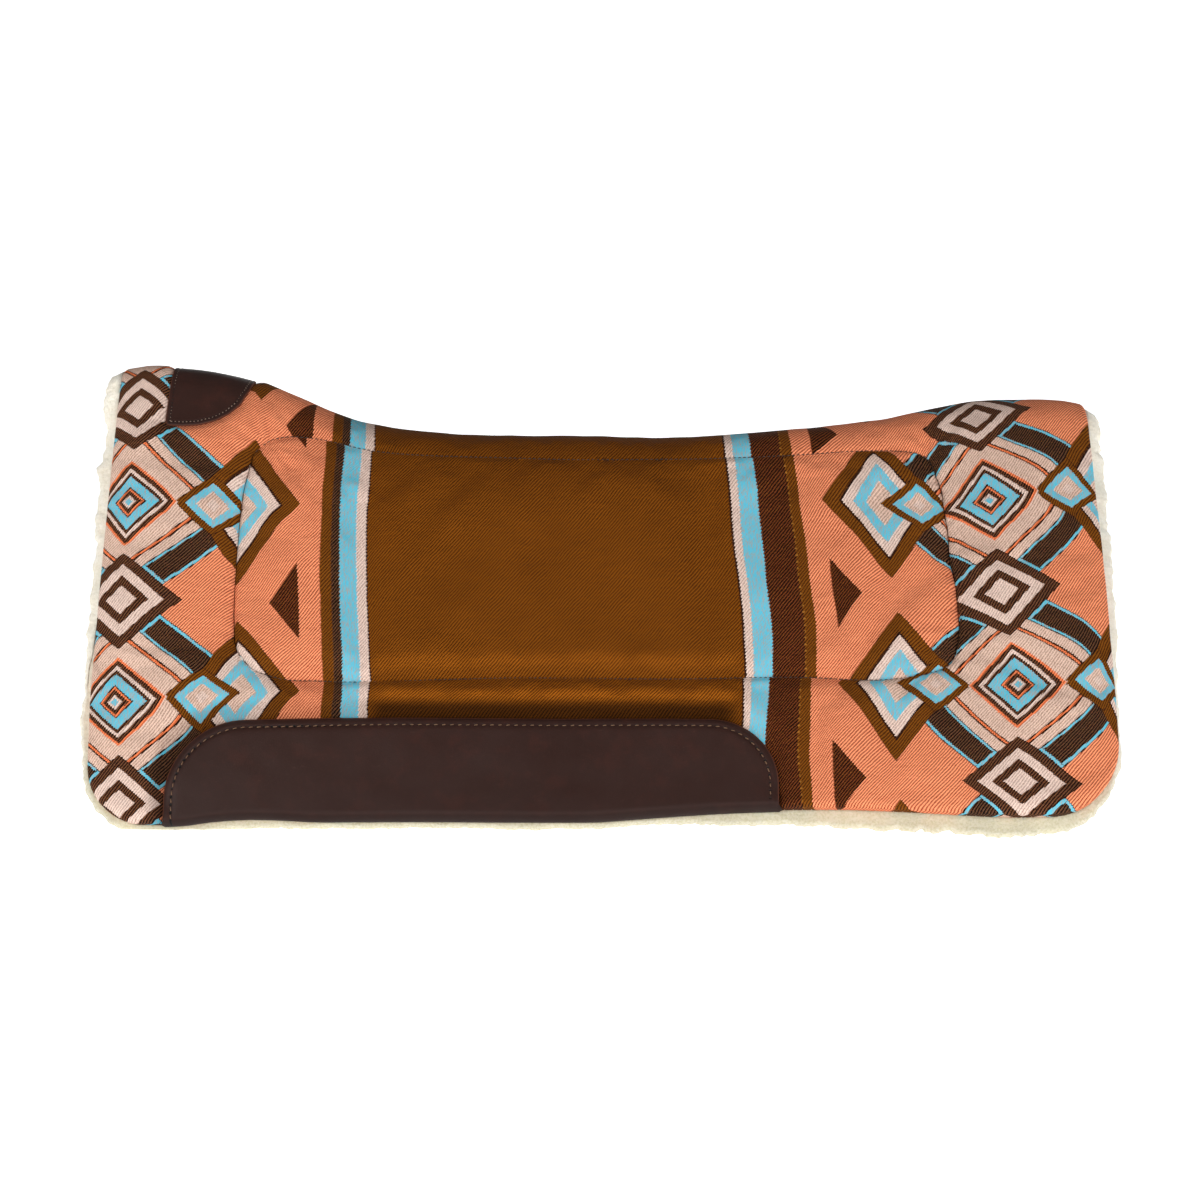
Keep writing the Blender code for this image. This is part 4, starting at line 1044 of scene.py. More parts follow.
    # pale and blue yarns are heathered: short streaks instead of clear twill lines
    pale = g.nodes.new("ShaderNodeSeparateColor")
    g.put(pale.inputs[0], cloth[0])
    pale = g.above(pale.outputs[2], 0.30, 0.1)
    streak = g.noise(g.combine(g.mul(X, 0.001), g.mul(R, 0.0005), 0.0), 1700, 2, 0.6)
    thread = g.noise(g.combine(g.mul(X, 0.001), g.mul(R, 0.00022), 0.0), 820, 2, 0.6)
    parts = g.nodes.new("ShaderNodeSeparateColor")
    g.put(parts.inputs[0], cloth[0])
    blue = g.above(g.sub(parts.outputs[2], parts.outputs[0]), 0.25, 0.2)
    strands = g.add(g.mul(g.sub(thread, 0.5), g.add(1.3, g.mul(blue, 3.0))), g.mul(g.sub(streak, 0.5), 2.1))
    heather = g.add(g.add(strands, g.math("MULTIPLY_ADD", blue, 0.10, 0.56)), g.mul(g.sub(float_, 0.5), g.math("MULTIPLY_ADD", blue, -0.75, 1.10)))
    share = g.add(g.mul(share, g.sub(1.0, pale)), g.mul(heather, pale))
    # the dark figures show their ground between thin floats
    under = g.nodes.new("ShaderNodeSeparateColor")
    g.put(under.inputs[0], cloth[1])
    deep_shade = g.below(under.outputs[0], 0.012, 0.003)
    share = g.add(g.mul(share, g.sub(1.0, deep_shade)), g.mul(g.math("MULTIPLY_ADD", g.sub(share, 0.5), 1.7, 0.10), deep_shade))
    colour = g.mix(g.math("MULTIPLY_ADD", share, 1.0, 0.02, clamp=True), cloth[1], cloth[0])
    # dark yarn is flecked with golden and reddish ends
    fleck = g.noise(g.combine(g.mul(X, 0.001), g.mul(R, 0.0006), 7.0), 1050, 2, 0.7)
    which = g.above(g.noise(spot, 260, 2), 0.5, 0.1)
    colour = g.mix(g.mul(g.mul(g.above(fleck, 0.61, 0.10), deep_shade), g.add(0.15, g.mul(float_, 0.45))), colour,
                   g.mix(which, linear((150, 96, 40)), linear((150, 78, 50))))
    # the tone attribute multiplies in painted light: painted highlights beside the lower quilting, painted shade along
    # the wear leather and near the ridge; broad is uneven dye
    value = g.mul(g.add(0.90, g.mul(broad, 0.20)), g.attribute("tone"))
    colour = g.mix(1.0, colour, g.combine(value, value, value), "MULTIPLY")
    # painted shade in the seam's crease: a faint dark line where the groove is shallow, much darker where it is deep
    crease = g.math("ABSOLUTE", g.attribute("seam_side"))
    deep = g.above(g.attribute("seam_deep"), 4.0, 4.0)
    crease = g.mul(g.below(crease, 1.1, 1.8), g.add(0.04, g.mul(deep, 0.62)))
    colour = g.mix(crease, colour, linear((22, 12, 8)))
    g.put(g.bsdf.inputs["Base Color"], colour)
    rough = g.math("MULTIPLY_ADD", g.noise(spot, 160, 2), 0.16, 0.76)
    g.put(g.bsdf.inputs["Roughness"], rough)
    g.bsdf.inputs["Specular IOR Level"].default_value = 0.04
    g.bsdf.inputs["Sheen Weight"].default_value = 0.015
    g.bsdf.inputs["Sheen Roughness"].default_value = 0.5
    g.bsdf.inputs["Sheen Tint"].default_value = (1.0, 0.92, 0.85, 1.0)
    height = g.add(float_, g.mul(speck, 0.5))
    g.put(g.bsdf.inputs["Normal"], g.bump(height, 0.00042, 0.55))
    return g.mat


def leather_material(name):
    g = Graph(name, (66, 45, 42))
    at = g.place()
    rim = g.attribute("rim")
    cloud = g.noise(at, 9, 4, 0.6)
    mottle = g.noise(at, 60, 3, 0.6)
    grain = g.cells(at, 1500, "F1")
    crack = g.cells(at, 620, "DISTANCE_TO_EDGE")
    base = g.mix(cloud, linear((43, 24, 19)), linear((53, 32, 27)))
    base = g.mix(g.mul(g.above(mottle, 0.60, 0.18), 0.35), base, linear((64, 33, 26)))
    # the lower part is darker and redder, the cut edge is raw and lighter
    low = g.below(g.separate(at)[2], 0.030, 0.06)
    base = g.mix(g.mul(low, 0.50), base, linear((42, 22, 17)))
    # the turned lower edge is darker
    base = g.mix(g.mul(g.below(g.attribute("to_low"), 0.6, 4.0), 0.80), base, linear((20, 11, 8)))
    edge = g.below(rim, 0.30, 0.4)
    base = g.mix(g.mul(edge, 0.55), base, linear((112, 62, 42)))
    scuff = g.noise(g.combine(g.mul(g.separate(at)[0], 0.35), g.separate(at)[1], g.separate(at)[2]), 420, 3, 0.7)
    base = g.mix(g.mul(g.above(scuff, 0.68, 0.10), 0.15), base, linear((84, 58, 50)))
    # needle holes, dark with painted shade; a darker band also runs along the stitch line
    pitch = 6.4
    hole_s = g.math("ABSOLUTE", g.math("WRAP", g.attribute("stitch_along"), pitch / 2, -pitch / 2))
    hole = g.math("SQRT", g.add(g.math("POWER", hole_s, 2.0), g.math("POWER", g.attribute("stitch_off"), 2.0)))
    hole = g.below(hole, 1.05, 0.5)
    press = g.below(g.math("ABSOLUTE", g.attribute("stitch_off")), 0.9, 1.4)
    base = g.mix(g.mul(press, 0.35), base, linear((24, 13, 10)))
    base = g.mix(hole, base, linear((10, 6, 5)))
    g.put(g.bsdf.inputs["Base Color"], base)
    rough = g.add(g.mul(g.noise(at, 35, 3, 0.6), 0.22), g.add(0.36, g.mul(edge, 0.3)))
    rough = g.add(rough, g.mul(g.below(g.attribute("to_low"), 3.0, 5.0), 0.35))
    g.put(g.bsdf.inputs["Roughness"], g.add(rough, g.mul(g.above(scuff, 0.66, 0.1), 0.12)))
    g.bsdf.inputs["Specular IOR Level"].default_value = 0.22
    height = g.add(g.mul(g.math("MINIMUM", crack, 0.18), 2.2), g.add(g.mul(grain, 0.5), g.mul(mottle, 0.8)))
    small = g.bump(height, 0.00014, 0.45)
    g.put(g.bsdf.inputs["Normal"], g.bump(g.sub(1.0, hole), 0.0006, 0.8, small))
    return g.mat


def fleece_material(name):
    g = Graph(name, (232, 226, 206))
    at = g.place()
    curl_shade = g.attribute("curl_shade")
    fibre = g.noise(at, 900, 3, 0.75)
    clump = g.noise(at, 120, 3, 0.6)
    warm = g.noise(at, 14, 3)
    # painted shade: the pile is darker in the hollows between its curls and paler on their tops
    base = g.mix(g.math("MULTIPLY_ADD", curl_shade, 0.85, 0.10, clamp=True), linear((234, 222, 200)), linear((252, 250, 242)))
    base = g.mix(g.mul(g.above(clump, 0.56, 0.25), 0.30), base, linear((238, 229, 206)))
    base = g.mix(g.mul(warm, 0.20), base, linear((244, 236, 214)))
    base = g.mix(g.mul(g.above(fibre, 0.6, 0.2), 0.25), base, linear((252, 250, 242)))
    # the pile low down, on which the pad stands, is duller
    low = g.below(g.separate(at)[2], 0.045, 0.07)
    base = g.mix(g.mul(low, 0.55), base, linear((178, 174, 146)))
    # shaded gaps between the curls
    knot = g.noise(at, 560, 3, 0.65)
    base = g.mix(g.mul(g.above(knot, 0.53, 0.16), g.math("MULTIPLY_ADD", low, 0.34, 0.16)), base, linear((178, 170, 122)))
    g.put(g.bsdf.inputs["Base Color"], base)
    g.put(g.bsdf.inputs["Roughness"], g.math("MULTIPLY_ADD", fibre, 0.15, 0.85))
    g.bsdf.inputs["Specular IOR Level"].default_value = 0.15
    g.bsdf.inputs["Sheen Weight"].default_value = 0.30
    g.bsdf.inputs["Sheen Roughness"].default_value = 0.6
    swirl = g.cells(at, 330, "SMOOTH_F1")
    height = g.add(g.mul(swirl, -1.0), g.add(g.mul(fibre, 0.7), g.mul(clump, 0.5)))
    g.put(g.bsdf.inputs["Normal"], g.bump(height, 0.0011, 0.7))
    return g.mat


def plain_material(name, light, dark, scale, rough, bump, fibre=900.0, strength=0.6):
    """Felt, foam, wadding or yarn: two tones mottled by noise, with a fibrous bump."""
    g = Graph(name, light)
    at = g.place()
    soft = g.noise(at, scale, 4, 0.6)
    fine = g.noise(at, fibre, 3, 0.7)
    colour = g.mix(g.math("MULTIPLY_ADD", g.add(soft, g.mul(g.sub(fine, 0.5), 0.8)), 1.6, -0.3, clamp=True), linear(dark), linear(light))
    g.put(g.bsdf.inputs["Base Color"], colour)
    g.put(g.bsdf.inputs["Roughness"], g.math("MULTIPLY_ADD", fine, 0.2, rough - 0.1))
    g.bsdf.inputs["Specular IOR Level"].default_value = 0.25
    g.bsdf.inputs["Sheen Weight"].default_value = 0.1
    g.put(g.bsdf.inputs["Normal"], g.bump(g.add(fine, g.mul(soft, 0.6)), bump, strength))
    return g.mat


def yarn_material(name, light, dark, period=0.55):
    """Twisted sewing thread: plies wind along it (the attribute runs along the thread in mm)."""
    g = Graph(name, light)
    at = g.place()
    turn = g.add(g.attribute("thread_along"), g.mul(g.attribute("thread_round"), period))
    ply = g.wave(turn, period)
    fuzz = g.noise(at, 2500, 2, 0.7)
    mix = g.add(g.mul(ply, 0.8), g.mul(g.sub(fuzz, 0.5), 0.7))
    g.put(g.bsdf.inputs["Base Color"], g.mix(g.math("ADD", mix, 0.0, clamp=True), linear(dark), linear(light)))
    g.put(g.bsdf.inputs["Roughness"], g.math("MULTIPLY_ADD", fuzz, 0.2, 0.55))
    g.bsdf.inputs["Sheen Weight"].default_value = 0.1
    g.put(g.bsdf.inputs["Normal"], g.bump(ply, 0.00018, 0.6))
    return g.mat


# --------------------------------------------------------------------------
# stitches
# --------------------------------------------------------------------------
def stitches(name, points, ups, pitch, gap, radius, rise, sink, closed=False, slant=0.0, start=0.5):
    """Separate stitches along a path of points with upward normals: each comes out of one hole and goes into the next."""
    pts, ups = np.asarray(points), np.asarray(ups)
    if closed:
        pts, ups = np.concatenate((pts, pts[:1])), np.concatenate((ups, ups[:1]))
    s = np.concatenate(((0.0,), np.cumsum(np.linalg.norm(np.diff(pts, axis=0), axis=1))))
    count = max(int(s[-1] / pitch), 1)
    pitch_used = s[-1] / count if closed else pitch
    sample = lambda q, a: np.stack([np.interp(q, s, a[:, k]) for k in range(3)], -1)
    rings, sides = 7, 8
    verts, faces, run, turn = [], [], [], []
    base = 0
    rng = np.random.default_rng(len(name) * 7 + count)
    for k in range(count):
        lean = 1.0 + rng.uniform(-0.06, 0.06)
        a, b = (k + start) * pitch_used + gap / 2, (k + start + 1) * pitch_used - gap / 2
        if closed:
            a, b = a % s[-1], b % s[-1]
            if b < a:
                continue
        elif b > s[-1]:
            break
        f = np.linspace(0, 1, rings)
        c = sample(a + (b - a) * f, pts)
        u = sample(a + (b - a) * f, ups)
        u /= np.linalg.norm(u, axis=1, keepdims=True)
        lift = rise * lean * np.sin(np.pi * f) ** 0.5 - sink * (1 - np.sin(np.pi * f) ** 0.35)
        d = np.gradient(c, axis=0)
        d /= np.linalg.norm(d, axis=1, keepdims=True)
        w = np.cross(u, d)
        c = c + u * lift[:, None] + w * (slant * (f - 0.5))[:, None]
        r = radius * (0.62 + 0.38 * np.sin(np.pi * f) ** 0.6)
        for q in range(sides):
            ang = math.tau * q / sides
            verts.append(c + (u * math.sin(ang) * 0.85 + w * math.cos(ang)) * r[:, None])
            run.append((a + (b - a) * f) * 1000)
            turn.append(np.full(rings, q / sides))
        for q in range(sides):
            q2 = (q + 1) % sides
            for i in range(rings - 1):
                faces.append([base + q * rings + i, base + q2 * rings + i, base + q2 * rings + i + 1, base + q * rings + i + 1])
        faces.append([base + q * rings for q in range(sides)][::-1])
        faces.append([base + q * rings + rings - 1 for q in range(sides)])
        base += sides * rings
    ob = build(name, np.concatenate(verts), faces, True, {"thread_along": np.concatenate(run), "thread_round": np.concatenate(turn)})
    return ob


WEAR_ROUND_FRONT, WEAR_ROUND_REAR = 0.064, 0.052


def even(points, step):
    """The polyline resampled with equal steps."""
    p = np.asarray(points, float)
    s = np.concatenate(((0.0,), np.cumsum(np.linalg.norm(np.diff(p, axis=0), axis=1))))
    count = max(int(round(s[-1] / step)), 2)
    at = np.linspace(0, s[-1], count + 1)
    return np.stack([np.interp(at, s, p[:, k]) for k in range(p.shape[1])], -1), s[-1] / count


def wear_lower(x):
    u = np.where(x < 0, x / FRONT_LOW, x / REAR_LOW)
    return cover_edge(u) - 0.0008


# --------------------------------------------------------------------------
# wear leather
# --------------------------------------------------------------------------
_phi = np.linspace(0, math.pi / 2, 19)
_xs = np.concatenate((WEAR_FRONT - 0.001 + WEAR_ROUND_FRONT * (1 - np.cos(_phi)),
                      np.linspace(WEAR_FRONT - 0.001 + WEAR_ROUND_FRONT, WEAR_REAR + 0.001 - WEAR_ROUND_REAR, 196)[1:-1],
                      (WEAR_REAR + 0.001 - WEAR_ROUND_REAR * (1 - np.cos(_phi)))[::-1]))
while (len(_xs) - 1) % 3:
    _xs = np.insert(_xs, 60, (_xs[59] + _xs[60]) / 2)


def wear_top(x):
    t = lower_edge(x) - WEAR_ABOVE_EDGE
    for edge, sign, r in ((WEAR_FRONT - 0.001, -1, WEAR_ROUND_FRONT), (WEAR_REAR + 0.001, 1, WEAR_ROUND_REAR)):
        dx = np.clip(r - np.abs(x - edge), 0, r)
        t = t + (r - np.sqrt(np.maximum(r * r - dx * dx, 0)))
    return t


_m = 49
WX = np.repeat(_xs[:, None], _m, 1)
WT = wear_top(_xs)[:, None] + (wear_lower(_xs) - wear_top(_xs))[:, None] * np.linspace(0, 1, _m)[None]
_loop = loop_of(*WX.shape)
_p, _w = inward(WX, WT, _loop)
WEAR_RIM = np.concatenate((_p, _p[:1]))
WEAR_OPEN = np.concatenate((np.stack((WX[0, ::-1], WT[0, ::-1]), -1), np.stack((WX[1:, 0], WT[1:, 0]), -1), np.stack((WX[-1, 1:], WT[-1, 1:]), -1)))
_open = np.array([k for k, (i, j) in enumerate(_loop) if j < _m - 1 or i in (0,)])
# stitch line: up the front end, along the top, down the rear end
_front = [(_p[k] + _w[k] * STITCH_IN) for k, (i, j) in enumerate(_loop) if i == 0 and 0 < j < _m - 3]
_upper = [(_p[k] + _w[k] * STITCH_IN) for k, (i, j) in enumerate(_loop) if j == 0 and 0 < i < len(_xs) - 1]
_rear_side = [(_p[k] + _w[k] * STITCH_IN) for k, (i, j) in enumerate(_loop) if i == len(_xs) - 1 and 0 < j < _m - 3]
WEAR_STITCH, WEAR_STEP = even(np.array(_front[::-1] + _upper[::-1] + _rear_side[::-1]), 0.0016)


def leather_height(rim, off, x, t, low_edge):
    """Height of a leather's upper face: lifted edges, a groove pressed by the stitching, slow waves."""
    n = 0.0029 + 0.0004 * np.exp(-((rim - 0.003) / 0.002) ** 2)
    n = n - 0.0007 * np.exp(-(off / 0.0011) ** 2) - 0.0004 * smooth((0.0045 - rim) / 0.0045)
    n = n + 0.00035 * waves(x, t, 31, 0.12) + 0.00012 * waves(x, t, 33, 0.04)
    n = n - 0.0006 * smooth((0.0011 - rim) / 0.0011)
    return n + low_edge


def make_wear(side, material):
    sign = -1.0 if side == "near" else 1.0
    rim = np.abs(nearest(WX, WT, WEAR_RIM, closed=False)[0])
    off, at = nearest(WX, WT, WEAR_STITCH, closed=False)
    off = np.abs(off)
    to_low = wear_lower(WX) - WT + 0.0008
    sewn = np.abs(nearest(WX, WT, WEAR_OPEN, closed=False)[0])
    n = leather_height(sewn, off, WX, WT, rounding(1.5 * to_low)) - 0.75 * tuck(sewn) * smooth((to_low - 0.002) / 0.014)
    face = surface(WX, sign * WT, n)
    top = np.array([n[i, j] for i, j in _loop])
    rings = []
    # along the lower edge it wraps round the rolled cover
    wrap = np.array([1.0 if j == _m - 1 else 0.0 for i, j in _loop])
    for inset, drop, wrap_inset, level in ((-0.00035, 0.0004, -0.0021, -0.0035), (-0.0005, 0.0009, -0.0026, -0.0066), (-0.0005, 0.0014, -0.0026, -0.0108),
                                           (-0.0002, 0.0019, -0.0018, -0.0136), (0.0006, 0.0022, 0.0004, -0.0120)):
        q = _p + _w * (inset + (wrap_inset - inset) * wrap)[:, None]
        rings.append(surface(q[:, 0], sign * q[:, 1], (top - drop) * (1 - wrap) + level * wrap))
    bx, bt, bn = WX[::3, ::3].copy(), WT[::3, ::3].copy(), n[::3, ::3] - LEATHER
    index = {key: k for k, key in enumerate(_loop)}
    for i, j in loop_of(*bx.shape):
        k = index[(i * 3, j * 3)]
        q = _p[k] + _w[k] * 0.0015
        bx[i, j], bt[i, j] = q
    ob = closed_sheet("wear_leather_panel_" + side, face, rings, surface(bx, sign * bt, bn), 3, side == "near",
                      {"rim": rim * 1000, "stitch_off": off * 1000, "stitch_along": at * WEAR_STEP * 1000, "to_low": to_low * 1000})
    layer = ob.data.attributes["rim"]
    value = np.empty(len(layer.data), np.float32)
    layer.data.foreach_get("value", value)
    value[:WX.size] = np.where(wear_lower(WX) - WT < 0.004, 3.0, rim * 1000).ravel()
    for k in range(3):
        ring = value[WX.size + k * len(_loop):WX.size + (k + 1) * len(_loop)]
        ring[wrap > 0] = 3.0
    layer.data.foreach_set("value", value)
    ob.data.materials.append(material)
    sx, st = WEAR_STITCH[:, 0], WEAR_STITCH[:, 1]
    rim_s = np.abs(nearest(sx, st, WEAR_OPEN, closed=False)[0])
    ns = leather_height(rim_s, np.zeros_like(sx), sx, st, rounding(1.5 * (wear_lower(sx) - st + 0.0008)))
    ns = ns - 0.75 * tuck(rim_s) * smooth((wear_lower(sx) - st - 0.0012) / 0.014)
    thread = stitches("wear_leather_stitches_" + side, surface(sx, sign * st, ns + 0.0002), normals(sx, sign * st),
                      0.0064, 0.0024, 0.00044, 0.00028, 0.0009, start=0.0, slant=0.0006)
    return ob, thread


# --------------------------------------------------------------------------
# wither patch, over the ridge
# --------------------------------------------------------------------------
def make_patch(material):
    q = 0.0664 * np.sin(np.linspace(-math.pi / 2, math.pi / 2, 76))
    xf = np.interp(np.abs(q), [0, .012, .035, .055, .0625, .0660, .0664], [-.3500, -.3508, -.3530, -.3546, -.3552, -.3538, -.3525])
    xr = np.interp(np.abs(q), [0, .0100, .0235, .0400, .0507, .0590, .0647, .0664], [-.2842, -.2850, -.2880, -.2950, -.3040, -.3150, -.3290, -.3410])
    cols = 43
    x = xf[:, None] + (xr - xf)[:, None] * np.linspace(0, 1, cols)[None]
    t = np.repeat(q[:, None], cols, 1)
    loop = loop_of(*x.shape)
    p, w = inward(x, t, loop)
    line = np.concatenate((p, p[:1]))
    rim = np.abs(nearest(x, t, line, closed=False)[0])
    stitch, step = even((lambda a: np.concatenate((a, a[:1])))(np.stack([p[k] + w[k] * 0.0033 for k in range(len(p))])), 0.0016)
    off, at = nearest(x, t, stitch, closed=False)
    n = leather_height(rim, np.abs(off) * 1.4, x, t, 0.0) - 0.0004 - press(-rim)
    face = surface(x, t, n)
    top = np.array([n[i, j] for i, j in loop])
    rings = []
    for inset, drop in ((-0.0003, 0.0004), (-0.0004, 0.0009), (-0.0004, 0.0014), (-0.0001, 0.0019), (0.0006, 0.0022)):
        a = p + w * inset
        rings.append(surface(a[:, 0], a[:, 1], top - drop))
    bx, bt, bn = x[::3, ::3].copy(), t[::3, ::3].copy(), n[::3, ::3] - LEATHER
    index = {key: k for k, key in enumerate(loop)}
    for i, j in loop_of(*bx.shape):
        k = index[(i * 3, j * 3)]
        bx[i, j], bt[i, j] = p[k] + w[k] * 0.0014
    # rows run across the ridge here, so the winding is the other way round
    ob = closed_sheet("wither_patch_leather", face, rings, surface(bx, bt, bn), 3, False,
                      {"rim": rim * 1000, "to_low": np.full(x.shape, 20.0), "stitch_off": np.abs(off) * 1400, "stitch_along": at * step * 1000 * 6.4 / 3.1})
    ob.data.materials.append(material)
    n_s = 0.0029 - 0.0004 - 0.0007 + 0.0001 - float(press(np.array(-0.0033)))
    thread = stitches("wither_patch_stitches", surface(stitch[:, 0], stitch[:, 1], np.full(len(stitch), n_s)),
                      normals(stitch[:, 0], stitch[:, 1]), 0.0031, 0.0011, 0.00042, 0.00042, 0.0008, start=0.0, slant=0.0004)
    return ob, thread


# --------------------------------------------------------------------------
# fleece lining
# --------------------------------------------------------------------------
def make_fleece(side, material):
    sign = -1.0 if side == "near" else 1.0
    us = column_stops(0.0030, 42)
    vs = stops([0.0, (0.74, 81), (1.0, 45)])
    x, t = half_grid(us, vs, 0.0006)
    line = outline_of(x, t)
    d, at = nearest(x, t, line, closed=False)
    i = np.clip(at.astype(int), 1, len(line) - 2)
    tangent = line[i + 1] - line[i - 1]
    w = np.stack((-tangent[..., 1], tangent[..., 0]), -1)
    w /= np.linalg.norm(w, axis=-1, keepdims=True) + 1e-12
    out = np.where((w * (np.stack((x, t), -1) - np.array((0.0, 0.15)))).sum(-1, keepdims=True) > 0, w, -w)
    low = np.abs(out[..., 1])
    ragged = 1 + 0.16 * waves(x, t, 41, 0.03) + 0.10 * waves(x, t, 43, 0.011)
    ends = np.where(x < 0, np.interp(t, [0, .04, .10, .20, .30, .36], [.0100, .0090, .0084, .0058, .0055, .0030]),
                    np.interp(t, [0, .05, .10, .15, .20, .25, .29, .34], [.0068, .0078, .0062, .0062, .0046, .0022, .0002, .0]))
    less = np.interp(x, [-.32, -.303, -.287, -.255, -.238, -.158, -.126, -.093, -.061, -.029, .003, .068, .10, .132, .164, .197, .229, .261, .325, .357, .374, .39],
                     [0, 2.4, 3.2, 3.8, 2.4, 1.6, 3.2, 2.2, .7, 3.2, 4, 5, 3.2, 5, 5, 4.1, 3.2, 2.4, 3.2, 5.5, 7.5, 8])
    below = np.maximum(fleece_overhang(x) + trim(x) - 0.0020 * smooth((x + 0.05) / 0.15) - 0.001 * less, 0.0008)
    reach = (ends * (1 - low) + below * low) * ragged
    push = reach * np.exp(-np.abs(d) / 0.016)
    x, t = x + out[..., 0] * push, np.maximum(t + out[..., 1] * push, 0.0006)
    t[:, 0] = 0.0001
    n = -(STACK - 0.0008) * np.ones_like(x)
    loop = loop_of(*x.shape)
    p, w = inward(x, t, loop)
    free = np.array([1.0 if (j > 0 or a in (0, len(us) - 1)) else 0.0 for a, j in loop])
    at_end = np.array([1.0 if a in (0, len(us) - 1) else 0.0 for a, j in loop])
    lip = at_end * (1 - smooth((p[:, 1] - 0.20) / 0.09))
    curl_up = lip * (0.0120 * (1 - smooth((p[:, 1] - 0.012) / 0.075)) + 0.0035)
    wall = np.array([reach[a, j] for a, j in loop]) + 0.0006
    rings = []
    for angle in np.radians((25, 48, 70, 90, 112, 135, 160)):
        bulge = 0.0030 * math.sin(angle)
        level = -(FLEECE_TOP + 0.0004) - (STACK - 0.0008 - FLEECE_TOP - 0.0004) * (0.5 + 0.5 * math.cos(angle))
        # at both ends the pile fills the corner beside the cover's turned edge and curls up, most near the ridge
        level = level + curl_up * float(smooth((math.degrees(angle) - 10) / 110))
        fill = float(smooth((math.degrees(angle) - 90) / 75))
        a = p - w * (bulge * free - lip * fill * (wall + bulge))[:, None]
        rings.append(surface(a[:, 0], sign * np.maximum(a[:, 1], 0.0001), level))
    bx, bt = x[::3, ::3].copy(), t[::3, ::3].copy()
    index = {key: k for k, key in enumerate(loop)}
    for i, j in loop_of(*bx.shape):
        k = index[(i * 3, j * 3)]
        bx[i, j], bt[i, j] = p[k] + w[k] * (lip[k] * (wall[k] + 0.0004))
    back = surface(bx, sign * np.maximum(bt, 0.0006), np.full(bx.shape, -(FLEECE_TOP + 0.0003)))
    face = surface(x, sign * t, n)
    ob = closed_sheet("fleece_lining_" + side, face, rings, back, 3, side == "far")
    count = len(ob.data.vertices)
    co = np.empty(count * 3)
    no = np.empty(count * 3)
    ob.data.vertices.foreach_get("co", co)
    ob.data.vertices.foreach_get("normal", no)
    co, no = co.reshape(-1, 3), no.reshape(-1, 3)
    fine = len(face.reshape(-1, 3)) + len(loop) * 7
    # a value high on the tops of the curls, which the fleece material uses to paint shade into the hollows between them
    curl_shade = np.zeros(count)
    lift = np.zeros(count)
    noise.seed_set(11)  # noise_vector's offsets follow the seed
    for k in range(fine):
        c = Vector(co[k])
        a = c * 118.0 + noise.noise_vector(c * 60.0) * 0.7
        dist = noise.voronoi(a)[0]
        dome = 1.0 - min(dist[0], 1.0)
        small = noise.noise(c * 330.0)
        curl_shade[k] = 0.75 * dome + 0.25 * (small * 0.5 + 0.5)
        lift[k] = 0.0021 * (dome - 0.45) + 0.0005 * small
    near_ridge = np.abs(co[:, 1]) < 0.0008
    lift[near_ridge] *= 0.2
    co = co + no * lift[:, None]
    co[:, 1] = sign * np.maximum(sign * co[:, 1], 0.00005)
    co[:, 2] = np.maximum(co[:, 2], 0.0004)
    ob.data.vertices.foreach_set("co", co.ravel())
    layer = ob.data.attributes.new("curl_shade", "FLOAT", "POINT")
    layer.data.foreach_set("value", curl_shade.astype(np.float32))
    ob.data.update()
    ob.data.materials.append(material)
    return ob


# --------------------------------------------------------------------------
# layers inside
# --------------------------------------------------------------------------
def solid_from_cells(name, top, bottom, cells, flip):
    """A closed slab over the grid cells that are True."""
    n, m = top.shape[:2]
    at = np.arange(n * m).reshape(n, m)
    low = n * m
    faces = []
    for i in range(n - 1):
        for j in range(m - 1):
            if not cells[i, j]:
                continue
            a, b, c, d = int(at[i, j]), int(at[i + 1, j]), int(at[i + 1, j + 1]), int(at[i, j + 1])
            faces.append([a, b, c, d])
            faces.append([low + a, low + d, low + c, low + b])
            for (p, q), (ni, nj) in (((a, b), (i, j - 1)), ((b, c), (i + 1, j)), ((c, d), (i, j + 1)), ((d, a), (i - 1, j))):
                if not (0 <= ni < n - 1 and 0 <= nj < m - 1 and cells[ni, nj]):
                    faces.append([q, p, low + p, low + q])
    used = sorted({v for f in faces for v in f})
    new = {v: k for k, v in enumerate(used)}
    verts = np.concatenate((top.reshape(-1, 3), bottom.reshape(-1, 3)))[used]
    return build(name, verts, [[new[v] for v in f] for f in faces], flip)


